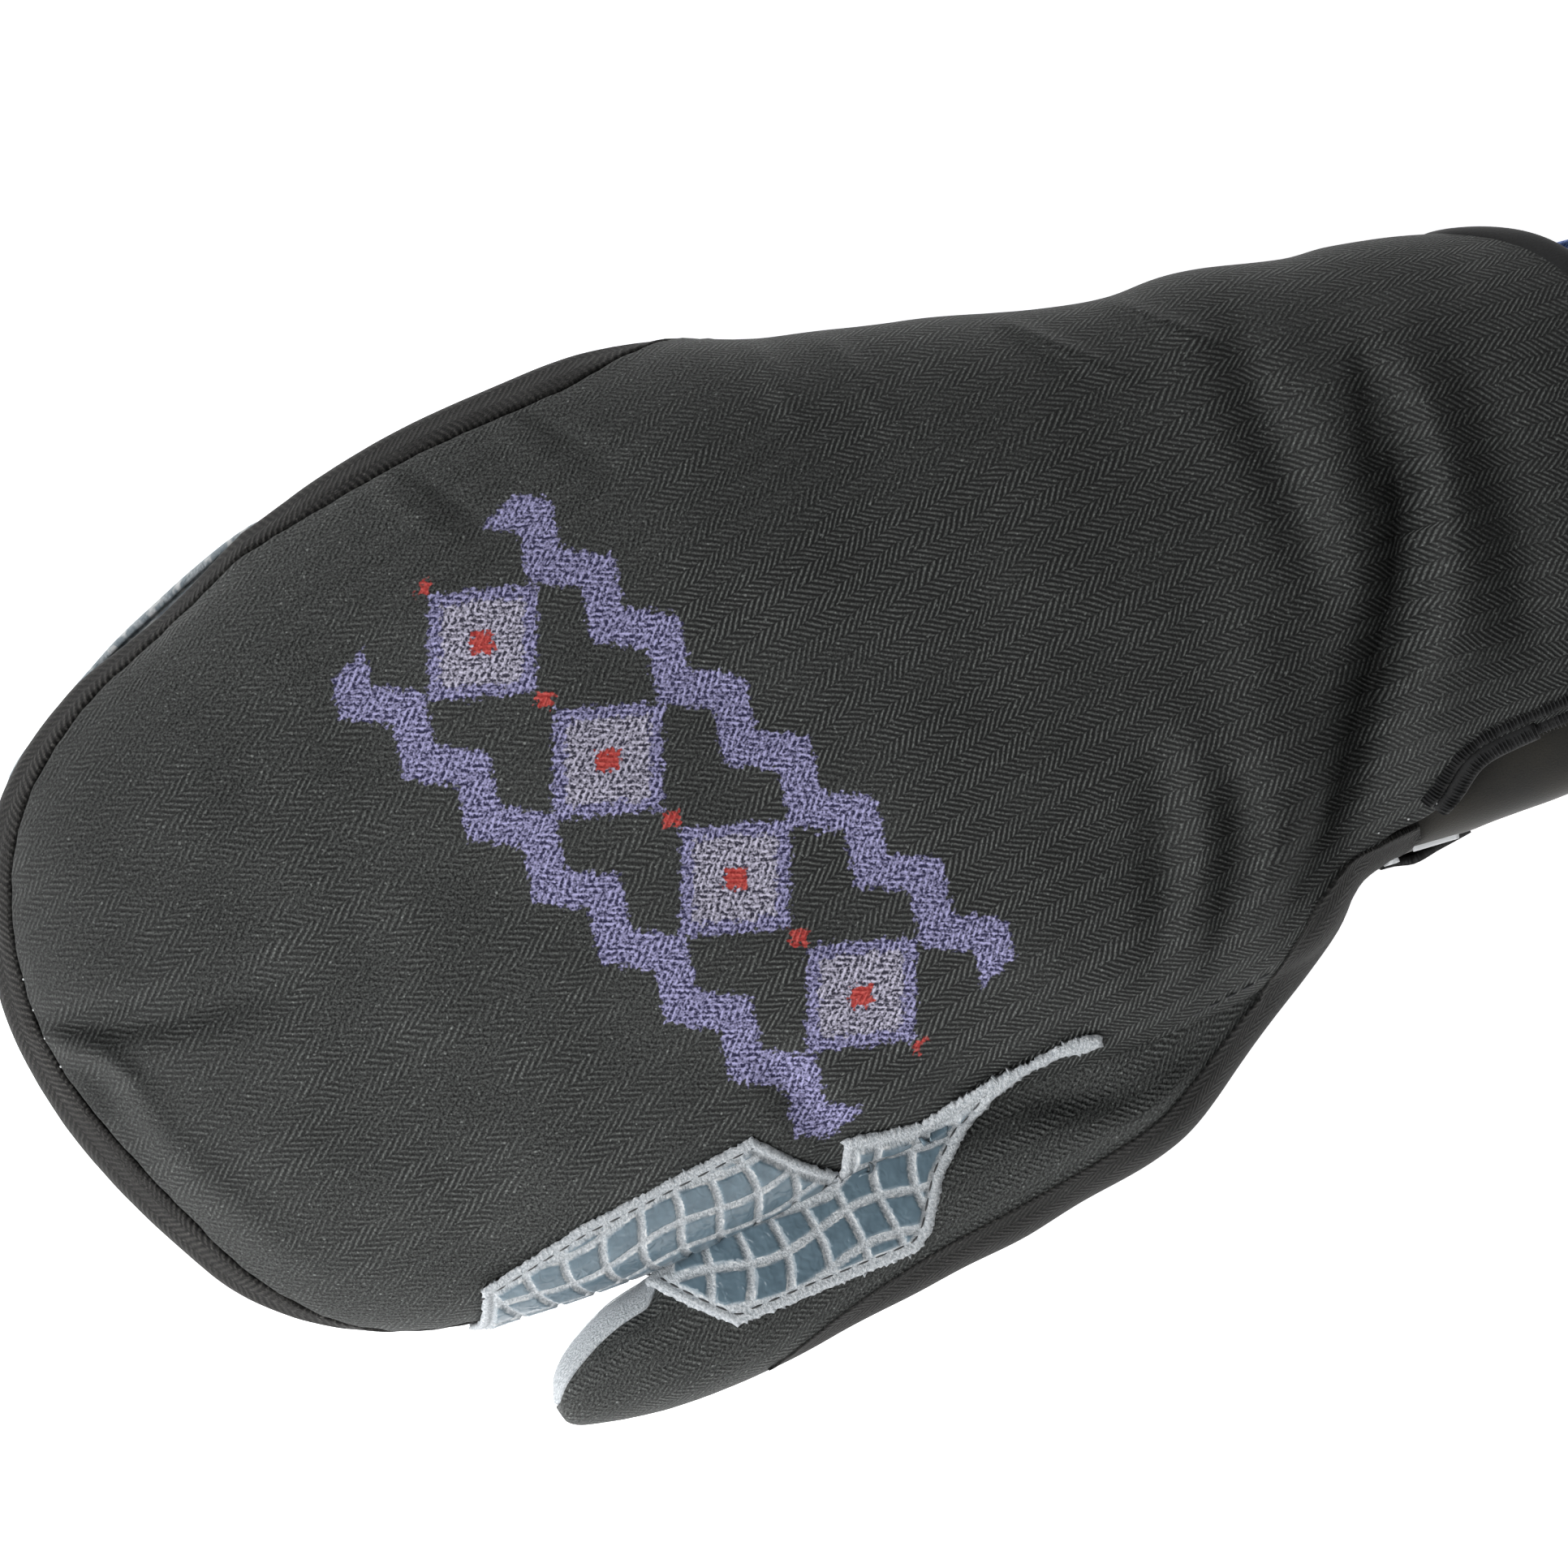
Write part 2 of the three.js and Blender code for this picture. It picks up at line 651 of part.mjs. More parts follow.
// The thumb is sewn to the hand along the crease where the two meet
const wholeShell = handOuter.add(thumbOuter).subtract(hollow);
const handShell = handOuter.subtract(hollow).subtract(thumbClear);
const thumbShell = thumbOuter.subtract(hollow).subtract(handSolid(FULL_X, OUTER, { grow: GAP }));

// Seam of the band in plan, from the little finger side round the tip to the crook of the thumb
const seamRays = allRays(BAND_ENDS_AT_X.littleFinger, BAND_SEAM.step, BAND_SEAM.tipSteps);
const bandSeam = seamRays
  .filter((ray) => ray.edge.y > 0 || ray.edge.x < BAND_ENDS_AT_X.index)
  .map((ray) => {
    const inwards = ray.spine.clone().sub(ray.edge).normalize();
    return ray.edge.clone().addScaledVector(inwards, ray.seamInset);
  });
// The seam leaves the mitten over its edge
bandSeam[0].y += 2 * BAND_INSET.littleFinger;

const indexSeam = smoothLine(BACK_INDEX_SEAM, SEAM_STEPS);
const heelSeam = smoothLine(HEEL_SEAM, SEAM_STEPS);
const ventCorner = BACK_INDEX_SEAM[BACK_INDEX_SEAM.length - 1];
const ventEdge = smoothLine([ventCorner, ...VENT_EDGE, ...BACK_RIM], RIM_STEPS);

const backOutline = [
  ...bandSeam,
  { x: BAND_ENDS_AT_X.index, y: -FAR },
  { x: BACK_INDEX_SEAM[0].x, y: -FAR },
  ...indexSeam,
  ...ventEdge.slice(1),
  { x: BACK_RIM_AT_SEAM_X + 1, y: BACK_RIM_CORNER_Y },
  { x: BACK_RIM_AT_SEAM_X, y: FAR },
  { x: BAND_ENDS_AT_X.littleFinger, y: FAR },
];
const heelOutline = [
  ...heelSeam,
  ...indexSeam.slice(1),
  { x: CUFF_JOIN.x, y: CUFF_JOIN.indexY },
  { x: CUFF_JOIN.x, y: -FAR },
  { x: HEEL_SEAM[0].x, y: -FAR },
];

// A strip of the palm's material shows round the inner side of the thumb's tip
const thumbBackEnd = THUMB_BACK_REST[THUMB_BACK_REST.length - 1];
const thumbBackOutline = [
  { x: THUMB_BACK_START.x, y: -FAR },
  THUMB_BACK_START,
  ...THUMB_STRIP.sectionsAtX.map((x) => ({
    x: x + THUMB_STRIP.width * THUMB_STRIP.lean,
    y: column(THUMB, 'x', 'inner', x) - THUMB_STRIP.width,
  })),
  ...THUMB_BACK_REST,
  { x: thumbBackEnd.x, y: -FAR },
];
const handOutline = [
  { x: -FAR, y: -FAR },
  { x: -FAR, y: FAR },
  { x: CUFF_JOIN.x, y: FAR },
  { x: CUFF_JOIN.x, y: -FAR },
];

// Takes a piece out of what is left of the shell, and leaves the gap of a seam round it
function take(rest, outline, lowZ, highZ) {
  return {
    piece: largest(rest.intersect(prism(outline, lowZ, highZ))),
    rest: rest.subtract(prism(outline, lowZ, highZ, GAP)),
  };
}

const heel = take(wholeShell, heelOutline, PALM_SEAM_HEIGHT, FAR);
const heelClear = prism(heelOutline, PALM_SEAM_HEIGHT, FAR, GAP);
const back = take(handShell.subtract(heelClear), backOutline, PALM_SEAM_HEIGHT, FAR);
const band = take(back.rest, handOutline, PALM_SEAM_HEIGHT, FAR);
const palm = take(band.rest, handOutline, -1, PALM_SEAM_HEIGHT - GAP);
const thumbBack = take(thumbShell.subtract(heelClear), thumbBackOutline, PALM_SEAM_HEIGHT, FAR);
const thumbPalm = largest(thumbBack.rest);

// Tape bound over the back cuff's free edge, from the vent round the rim to the little finger side
const backRimPlaces = [
  ...ventEdge.slice(1).map(placeAbove),
  ...BACK_RIM_TURN_DEGREES.map((degrees) => ({
    x: BACK_RIM_AT_SEAM_X + Math.max(degrees, 0) * BACK_RIM_LEAN,
    side: 'littleFinger',
    angle: THREE.MathUtils.degToRad(degrees),
  })),
];
const midWall = { grow: -CUFF_WALL / 2 };
const binding = tapeAlong(backRimPlaces, midWall, 0);
const bindingClear = tapeAlong(backRimPlaces, midWall, GAP);

// Palm side of the cuff
const underOuter = handSolid(FULL_X, CUFF_OUTER, { drop: UNDERCUFF_DROP });
const underInner = handSolid(OPEN_X, CUFF_INNER, { takeWall: true, drop: UNDERCUFF_DROP });
const underFromX = CUFF_JOIN.x + GAP;
const underOutline = [
  { x: underFromX, y: -FAR },
  { x: underFromX, y: CUFF_JOIN.indexY },
  UNDERCUFF_AT_SEAM,
  { x: UNDERCUFF_TUCK.fromX, y: UNDERCUFF_TUCK.y },
  { x: UNDERCUFF_RIM_X, y: UNDERCUFF_TUCK.y },
  { x: UNDERCUFF_RIM_X, y: -FAR },
];
const underFloor = [
  { x: underFromX, y: -FAR },
  { x: underFromX, y: FAR },
  { x: UNDERCUFF_RIM_X, y: FAR },
  { x: UNDERCUFF_RIM_X, y: -FAR },
];
const backClear = handSolid(FULL_X, OUTER, { grow: GAP })
  .subtract(handSolid(OPEN_X, INNER, { takeWall: true, grow: -GAP }))
  .intersect(prism(backOutline, PALM_SEAM_HEIGHT, FAR, GAP));
const underRegion = prism(underOutline, -1, FAR).add(prism(underFloor, -1, PALM_SEAM_HEIGHT - GAP));
const undercuffWall = underOuter.subtract(underInner).intersect(underRegion)
  .subtract(backClear)
  .subtract(heelClear)
  .subtract(bindingClear);
const underRimX = UNDERCUFF_RIM_X - BINDING.halfWidth;
const underRimPlaces = [];
function underRimPlace(side, degrees) {
  return { x: underRimX, side, angle: THREE.MathUtils.degToRad(degrees) };
}
const { indexFrom, indexStep, littleFingerTo, littleFingerStep } = UNDERCUFF_RIM_DEGREES;
for (let degrees = indexFrom; degrees >= -90; degrees -= indexStep) {
  underRimPlaces.push(underRimPlace('index', degrees));
}
for (let degrees = indexStep - 90; degrees <= littleFingerTo; degrees += littleFingerStep) {
  underRimPlaces.push(underRimPlace('littleFinger', degrees));
}
const underMidWall = { grow: -CUFF_WALL / 2, drop: UNDERCUFF_DROP };
const underBinding = tapeAlong(underRimPlaces, underMidWall, 0).subtract(bindingClear).subtract(backClear);
const underBindingClear = tapeAlong(underRimPlaces, underMidWall, GAP);
const undercuff = largest(undercuffWall.subtract(underBindingClear));

// Overlays and strap are skins over the shell
function skinOver(from, thickness, region) {
  const outer = handSolid(FULL_X, OUTER, { grow: from + thickness });
  const inner = handSolid(OPEN_X, OUTER, { grow: from });
  return outer.subtract(inner).intersect(region);
}

const fingerOverlay = largest(
  skinOver(GAP, OVERLAY_THICKNESS, prism(FINGER_OVERLAY, OVERLAY_LOW_Z, FAR)).subtract(thumbClear),
);
const webOuter = handSolid(FULL_X, OUTER, { grow: GAP + OVERLAY_THICKNESS })
  .add(thumbSolid(THUMB_OUTER, GAP + OVERLAY_THICKNESS));
const webInner = handSolid(OPEN_X, OUTER, { grow: GAP }).add(thumbClear);
const webOverlay = largest(
  webOuter.subtract(webInner)
    .intersect(prism(WEB_OVERLAY, PALM_SEAM_HEIGHT, FAR))
    .subtract(prism(FINGER_OVERLAY, OVERLAY_LOW_Z, FAR, GAP)),
);

function strapRegion(lowY, highY, topZ) {
  return prism([
    { x: STRAP.fromX, y: lowY },
    { x: STRAP.toX, y: lowY },
    { x: STRAP.toX, y: highY },
    { x: STRAP.fromX, y: highY },
  ], -1, topZ);
}

const strap = largest(skinOver(
  STRAP.standOff,
  STRAP_THICKNESS,
  strapRegion(-FAR, 1, STRAP.indexTopZ).add(strapRegion(0, FAR, STRAP.littleFingerTopZ)),
).subtract(heelClear));

function loopSolid() {
  const { length, thickness, holeStart } = LOOP_LEGS;
  const outside = [{ x: length, y: 0 }, ...LOOP_OUTLINE, { x: length, y: -thickness }];
  const inside = [{ x: holeStart, y: -thickness / 2 }, ...LOOP_HOLE, { x: holeStart, y: -thickness / 2 }];
  const outline = new THREE.Shape([
    new THREE.Vector2(0, 0),
    ...smoothLine(outside, LOOP_STEPS),
    new THREE.Vector2(0, -thickness),
  ]);
  outline.holes.push(new THREE.Path(smoothLine(inside, LOOP_STEPS).slice(1).reverse()));
  const geometry = new THREE.ExtrudeGeometry(outline, {
    depth: LOOP.width,
    bevelEnabled: false,
  });
  geometry.rotateZ(THREE.MathUtils.degToRad(LOOP.degrees));
  geometry.translate(LOOP.x, LOOP.y, LOOP.lowZ);
  return solidOf(geometry);
}

const loop = largest(loopSolid().subtract(bindingClear).subtract(backClear));

function pieceMesh(name, solid, colour, roughness) {
  const data = solid.getMesh();
  const geometry = new THREE.BufferGeometry();
  geometry.setAttribute('position', new THREE.BufferAttribute(new Float32Array(data.vertProperties), 3));
  geometry.setIndex(new THREE.BufferAttribute(new Uint32Array(data.triVerts), 1));
  const material = new THREE.MeshStandardMaterial({ color: colour, roughness, metalness: 0 });
  const mesh = new THREE.Mesh(geometry, material);
  mesh.name = name;
  return mesh;
}

const group = new THREE.Group();
group.add(pieceMesh('back_panel', largest(back.piece.subtract(bindingClear)), 0x3a3b3b, 0.85));
group.add(pieceMesh('side_band', band.piece, 0x2f2f2e, 0.85));
group.add(pieceMesh('heel_panel', heel.piece, 0x333331, 0.85));
group.add(pieceMesh('thumb_back_panel', thumbBack.piece, 0x373736, 0.85));
group.add(pieceMesh('thumb_palm_panel', thumbPalm, 0xb4bcc0, 0.8));
group.add(pieceMesh('palm_panel', palm.piece, 0xb4bcc0, 0.8));
group.add(pieceMesh('finger_overlay', fingerOverlay, 0x8ea0ab, 0.5));
group.add(pieceMesh('web_overlay', webOverlay, 0x8ea0ab, 0.5));
group.add(pieceMesh('undercuff', undercuff, 0x42423d, 0.9));
group.add(pieceMesh('cuff_binding', binding, 0x2b2b2b, 0.9));
group.add(pieceMesh('undercuff_binding', largest(underBinding), 0x2b2b2b, 0.9));
group.add(pieceMesh('wrist_strap', strap, 0x262626, 0.8));
group.add(pieceMesh('pull_loop', loop, 0x3d5a9a, 0.7));

group.position.set(-PATTERN_CENTRE_X, -PATTERN_CENTRE_Y, 0);

export default group;
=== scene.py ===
import math

import bmesh
import bpy
import numpy as np
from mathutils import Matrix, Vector
from mathutils.geometry import delaunay_2d_cdt


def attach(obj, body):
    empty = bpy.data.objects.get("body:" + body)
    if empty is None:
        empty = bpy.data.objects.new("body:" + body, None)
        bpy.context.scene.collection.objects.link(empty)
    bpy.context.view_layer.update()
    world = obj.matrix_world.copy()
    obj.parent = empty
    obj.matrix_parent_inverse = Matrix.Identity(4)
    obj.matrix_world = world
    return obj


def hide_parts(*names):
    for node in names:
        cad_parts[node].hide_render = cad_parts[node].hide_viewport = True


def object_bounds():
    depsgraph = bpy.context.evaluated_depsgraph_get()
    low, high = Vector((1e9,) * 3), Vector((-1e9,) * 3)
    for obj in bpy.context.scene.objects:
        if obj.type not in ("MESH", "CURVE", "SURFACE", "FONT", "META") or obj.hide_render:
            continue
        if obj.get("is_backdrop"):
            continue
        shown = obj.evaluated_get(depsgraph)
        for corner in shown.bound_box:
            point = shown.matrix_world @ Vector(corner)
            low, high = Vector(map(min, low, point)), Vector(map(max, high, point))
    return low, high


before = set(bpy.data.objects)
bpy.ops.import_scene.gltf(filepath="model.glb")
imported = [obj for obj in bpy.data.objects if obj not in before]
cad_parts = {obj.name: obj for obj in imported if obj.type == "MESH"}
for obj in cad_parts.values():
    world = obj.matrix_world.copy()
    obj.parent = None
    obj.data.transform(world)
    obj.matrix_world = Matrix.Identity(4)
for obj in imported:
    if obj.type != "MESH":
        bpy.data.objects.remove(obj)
CAD_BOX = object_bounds()

bl_info = {
    "name": "Snowboard Mitten",
    "version": (1, 0, 0),
    "blender": (4, 5, 0),
    "location": "View3D > Sidebar > Mitten",
    "description": "Dresses a padded snowboard mitten in twill, suede grips, knitted bindings and stitches",
    "category": "Object",
}

# Pattern measures are millimetres from near the fingertips, as in the part's source. The centre is the
# middle of the mitten's box, which lies at the frame's origin.
PATTERN_CENTRE = (138.33, -13.18, 0.0)
MM = 0.001

GAP = 0.3
CUFF_WALL = 2.6
TIP_X, TIP_Y = 52.0, -6.0
SPINE_SHIFT_LENGTH = 60.0
BACK_ROUNDNESS = 2.35
PALM_ROUNDNESS = 3.4
PALM_FLATTENING = 1.4
THUMB_ROUNDNESS = 2.3
FOLD_FADE = 1.4
TIP_WIDEST = 12.0
PALM_SEAM_HEIGHT = 9.0
CUFF_JOIN_X = 206.8

# The twill's grain. Columns: x, slope of the twill's columns, strokes for each stroke pitch of length
GRAIN = np.array([
    (-60, 0.22, 0.72), (60, 0.22, 0.72), (100, 0.25, 0.8), (150, 0.26, 1.0), (180, 0.20, 1.0),
    (200, 0.14, 1.0), (220, 0.06, 1.05), (235, -0.02, 1.1), (250, -0.06, 1.12), (320, -0.06, 1.12),
])

# How steeply a stroke crosses its column: its step along the column for each step across
TWILL_SLOPE = 1.11

# Columns: angle in degrees, distance from the middle of the fingertip dome to its outline
TIP_RADII = np.array([
    (90, 65.3), (97, 61.8), (105, 59.5), (113, 59.4), (123, 60.8), (140, 62.4), (155, 62.0), (173, 60.4),
    (190, 59.0), (205, 58.6), (220, 60.1), (232, 62.9), (245, 64.6), (258, 65.6), (270, 66.1),
])

# Columns: x, y of the outline on the little finger side, y of the outline on the index side
SIDES = np.array([
    (52, 59.6, -72.1), (67, 63.8, -72.1), (82, 67.0, -71.4), (98, 68.7, -70.2), (114, 69.2, -68.4),
    (129, 66.6, -67.0), (144, 61.8, -66.5), (160, 57.9, -66.0), (175, 55.2, -64.5), (187, 52.1, -61.5),
    (196, 50.5, -58.0), (204, 50.1, -50.9), (212, 49.0, -48.8), (224, 46.6, -48.6), (231, 46.4, -48.9),
    (238, 45.2, -49.1), (252, 41.7, -48.9), (266, 39.4, -48.0), (290, 37.6, -47.0),
])

# Columns: x, crown, underside, widest line on the little finger side, widest line on the index side
HEIGHTS = np.array([
    (52, 45, 0.0, 15, 19), (90, 48, 0.0, 17, 23), (130, 50, 0.0, 18, 24), (165, 51, 0.0, 20, 24),
    (190, 51, 0.2, 22, 24), (205, 52, 2.6, 24, 25), (230, 54, 2.6, 26, 26), (250, 55, 0.8, 27, 27),
    (290, 56, 0.8, 28, 28),
])

# Columns: x, outer y, inner y, underside, top of the thumb
THUMB = np.array([
    (55.0, -90.0, -88.0, 11, 14), (56.2, -92.3, -84.6, 7, 19), (60.0, -94.0, -80.8, 3, 23),
    (68.0, -95.4, -76.4, 0.8, 26), (78.0, -95.6, -73.6, 0, 28), (90.0, -94.6, -68.0, 0, 29.5),
    (106, -92.2, -59.0, 0, 30.5), (121, -89.4, -53.0, 0, 31.5), (137, -87.1, -49.0, 0, 32.5),
    (152, -84.3, -46.0, 0, 33.5), (163, -81.2, -43.0, 0, 33.5), (171, -76.6, -40.0, 0, 33.0),
    (180, -70.6, -36.0, 0, 32.0), (189, -65.0, -32.0, 0.6, 30.5), (199, -57.0, -28.0, 3, 28.0),
    (207, -50.0, -26.0, 3, 26.5),
])

# Folds of the padded cloth. Those across the mitten have rows of y, x, height and half width, and
# those along it have rows of x, y, height and half width. A ridge is above zero.
FOLDS_ACROSS = {
    "wrist valley": [
        (-52, 194, 0, 4), (-45, 198.5, -2.5, 4), (-36, 204.8, -5.2, 4.4), (-24, 212.3, -6.8, 4.6),
        (-12.7, 220.3, -7.0, 4.6), (-0.5, 225.9, -6.6, 4.2), (7, 228.3, -5.6, 3.8), (17, 230.4, -3.0, 3.4),
        (29, 229.5, 0, 3),
    ],
    "wrist ridge": [
        (-42, 213, 0, 5), (-33, 219, 2.2, 6), (-18, 228.6, 3.2, 6.4), (-2.6, 233.2, 3.2, 6.4),
        (13, 236, 2.8, 6), (26, 236, 1.5, 5.4), (36, 233, 0, 5),
    ],
    "dent by the rim": [
        (-32, 237, 0, 5), (-18, 240, -1.8, 5), (0, 242, -2.0, 5.4), (19, 241.5, -1.4, 5), (31, 239, 0, 5),
    ],
    "knuckle side valley": [
        (-12, 211.3, 0, 4), (-3, 211.5, -1.4, 4), (8, 211.9, -2.4, 4.4), (25, 211.5, -2.4, 4.4),
        (37, 211.8, -1.8, 4), (52, 211.8, -0.6, 4),
    ],
    "ridge before the valley": [(-8, 212, 0, 5), (4, 216.5, 1.5, 5), (19, 221, 1.3, 4.6), (32, 224, 0, 4)],
    "knuckle ridge": [(-32, 193, 0, 6), (-20, 196, 1.0, 6), (-4, 200, 0.9, 6), (6, 201, 0, 6)],
    "first gather": [
        (-57, 169, 0, 3), (-50, 174, 1.4, 3.1), (-44, 177.6, 1.9, 3.3), (-38, 180.5, 1.9, 3.5),
        (-32, 182.6, 1.5, 3.5), (-22, 184, 0.6, 3.4), (-15, 184.8, 0, 3.2),
    ],
    "valley before the gather": [
        (-58, 165, 0, 4), (-52, 168, -0.8, 4), (-42, 173, -1.8, 4), (-24, 178, -1.0, 4), (-16, 179, 0, 4),
    ],
    "valley after the gather": [
        (-61, 172, 0, 3), (-55, 176, -1.4, 3), (-46, 182, -2.5, 3), (-39, 186, -2.5, 3),
        (-31, 188.5, -1.5, 3), (-24, 190.5, 0, 3),
    ],
    "second gather": [
        (-57, 179, 0, 3), (-51, 184.7, 1.3, 3), (-45.5, 188.7, 1.8, 3), (-40, 192.2, 1.5, 3),
        (-32, 195.5, 0, 3),
    ],
    "fingertip ridge": [
        (-57, 28, 0, 4), (-50, 22.7, 0.8, 4), (-41.5, 18.7, 1.1, 4), (-33, 14, 1.3, 4), (-25, 11, 1.3, 3.4),
        (-17.6, 9.4, 1.1, 3), (-10, 6, 0, 2.6),
    ],
    "fingertip dimple": [(-23, 6, 0, 2.6), (-16, 4.6, -1.8, 2.8), (-10, 3.4, 0, 2.6)],
    "dent by the grip patch": [
        (-66, 112, 0, 3), (-62, 111, -1.0, 3), (-56, 109.5, -1.6, 3.6), (-49, 107.4, -1.4, 3.6),
        (-41, 105.5, 0, 3.6),
    ],
    "little finger crease": [(38, 157, 0, 5), (46, 157, -1.0, 5), (60, 155, -1.2, 5)],
}
FOLDS_ALONG = {
    "fingertip crease": [
        (-4, -2.2, -0.6, 2.2), (3.6, -5.4, -2.4, 2.6), (11, -7.9, -3.0, 3.0), (22.7, -9.7, -2.6, 3.8),
        (34, -9.5, -1.8, 5), (46, -8.8, -0.9, 7), (60, -8, 0, 8),
    ],
    "fingertip roll": [
        (-4, -4.4, 0.5, 1.8), (2.6, -9.6, 1.4, 2.2), (7.9, -13.4, 1.2, 2.6), (12, -17, 0, 3),
    ],
}

# Finer creases, in the same columns
CREASES_ACROSS = {
    "valley core": [
        (-44, 199.5, 0, 2.4), (-36, 204.8, -1.9, 2.6), (-24, 212.5, -2.6, 2.8), (-12.7, 220.6, -2.3, 2.8),
        (-0.5, 226.2, -1.9, 2.4), (7, 228.5, -1.2, 2.2), (15, 230.2, 0, 2),
    ],
    "valley's twin": [
        (5, 223.6, 0, 1.6), (11.5, 225.3, -1.6, 1.8), (20, 227.2, -1.3, 1.8), (31, 229.6, 0, 1.6),
    ],
    "pucker one": [(47, 85.5, 0, 2), (52.5, 81.8, 0.9, 2), (59, 77.4, 0.9, 1.8), (63, 73, 0.3, 1.6)],
    "beside pucker one": [(44, 92, 0, 2.6), (49, 89, -1.0, 2.6), (54, 85.6, -1.5, 2.4), (61, 80, -0.7, 2)],
    "pucker two": [(53, 105.5, 0, 2), (58.5, 101, 0.9, 2), (62, 98, 0.9, 1.8), (66, 95, 0.3, 1.6)],
    "beside pucker two": [
        (46, 114, 0, 2.8), (52, 110.4, -0.9, 2.8), (57, 106.4, -1.4, 2.4), (63, 101.6, -0.6, 2),
    ],
    "edge pucker one": [
        (44, 143.4, 0, 2.4), (50, 142.6, 1.1, 2.2), (57, 141.4, 1.7, 1.9), (63, 139.5, 1.3, 1.7),
    ],
    "edge pucker two": [
        (38, 158, 0, 2.6), (45, 156.0, 1.2, 2.4), (53, 153.2, 1.8, 2.1), (61, 150, 1.2, 1.7),
    ],
    "edge pucker three": [
        (33, 196, 0, 2.6), (40, 189.8, 2.0, 2.0), (45.5, 184.6, 2.6, 1.7), (51.5, 179.4, 1.8, 1.5),
    ],
    "edge pucker four": [
        (34, 210, 0, 2.4), (40, 204.2, 1.9, 1.9), (43.5, 200.6, 2.5, 1.7), (49.5, 196, 1.7, 1.5),
    ],
    "rim pucker": [(30, 247, 0, 3), (37, 249, -0.9, 3), (45, 250, -0.6, 3)],
    "third gather": [(-58, 186.5, 0, 2.6), (-53, 190, -1.2, 2.8), (-45, 195.5, -1.4, 3), (-38, 199, 0, 3)],
}
CREASES_ALONG = {
    "thumb crease": [
        (129, -68.6, 0, 2.6), (136, -67.4, -1.3, 3), (142.4, -66.4, -2.2, 3), (151, -68.3, -2.4, 3.2),
        (159, -69.6, -1.9, 3.2), (166.4, -67.8, -1.2, 3), (177, -66.5, 0, 3),
    ],
    "thumb ridge": [
        (112, -80, 0, 4), (128, -76.5, 0.8, 4), (145, -74, 1.2, 4), (160, -72.6, 1.0, 4),
        (175, -69.5, 0, 3),
    ],
}

# Soft undulation of the padding. Columns: wavelength, direction in degrees, phase, height
RIPPLES = [
    (41, 20, 0.4, 0.26), (29, 75, 2.1, 0.20), (53, 130, 1.2, 0.28), (19, 160, 3.3, 0.09),
    (14, 50, 5.0, 0.06),
]

# How far the band's upper seam lies inside the outline. Columns: angle round the fingertips, inset
BAND_INSET = np.array([
    (0, 5.0), (40, 5.4), (72, 5.2), (84, 4.2), (94, 3.2), (106, 2.8), (116, 3.5), (128, 4.6), (140, 5.2),
    (160, 5.6), (180, 5.8), (200, 6.4), (215, 6.4), (228, 5.4), (238, 3.6), (246, 1.6), (254, 0.4),
    (270, 0.3), (310, 0.3),
])
BAND_TAPER = {"little_finger": (107.0, 150.0), "index": (79.0, 85.0)}

# The back panel's edge on the index side, from the thumb's crease to the vent. Columns: x, y
BACK_INDEX_EDGE = np.array([
    (150, -65.0), (165, -64.2), (178, -62.6), (185, -61.0), (191, -55.5), (199, -48.0), (208, -45.6),
    (218, -44.1), (224.7, -38.8), (233.4, -37.2), (245, -36.4), (262, -35.2), (290, -35.0),
])
# The back cuff's rim. Columns: y, x
BACK_RIM = np.array([
    (-36, 253.0), (-33, 262.0), (-27, 267.5), (-16, 270.2), (0, 271.0), (14, 270.4), (25, 267.8),
    (32, 264.8), (37, 260.8), (40.4, 255.4), (41.8, 250.7), (44, 250.0), (60, 250.0),
])
RIM_WARP_X = 226.0
RIM_NOMINAL_X = 271.0

# The seam between the thumb's back and the heel panel. Columns: x, y
HEEL_SEAM = np.array([
    (90, -94.0), (105, -88.6), (120, -84.6), (137, -81.6), (152, -78.6), (162, -75.6), (174, -68.2),
    (185, -60.6), (191, -55.5), (199, -48.0), (208, -45.6), (214.5, -44.8),
])
THUMB_STRIP_WIDTH = 3.6

# The thumb's sections, closer together at its round tip. Its skins end inside the hand.
THUMB_FROM_X, THUMB_TO_X = 55.0, 199.0
THUMB_SECTIONS = THUMB_FROM_X + (THUMB_TO_X - THUMB_FROM_X) * np.linspace(0, 1, 124) ** 1.35
THUMB_SKIN_END_X = 193.0

# Where one shape passes over into another along the mitten. Columns: from x, to x
PASSAGES = {
    "back's edge to the thumb's crease": (150, 172),
    "back goes under the heel panel": (152, 168),
    "back comes out from the heel panel": (207, 211),
    "back lies calm by the heel panel": (150, 175),
    "back's edge is round again": (206, 212),
    "thumb's back meets the heel seam": (88, 94),
    "thumb's strip ends": (74, 82),
    "thumb's palm meets the crease": (76, 84),
    "thumb's gathers fade": (88, 104),
    "thumb's round edge fades": (88, 96),
    "heel panel leaves the thumb": (198, 211),
    "heel panel tucks in": (203, 208),
    "strap's edge sinks": (212, 229),
}
SEAM_OVERLAP = 1.0

# How far the palm's edge pushes out under the band. Columns: angle round the fingertips, push
PALM_PEEK = np.array([
    (0, 0), (68, 0), (76, 0.7), (83, 1.6), (90, 3.0), (97, 4.2), (105, 4.5), (113, 3.6), (121, 1.8),
    (130, 1.0), (138, 1.7), (147, 0.6), (165, 0.2), (185, 0.4), (197, 1.2), (215, 1.4), (233, 1.2),
    (250, 0.3), (270, 0), (360, 0),
])

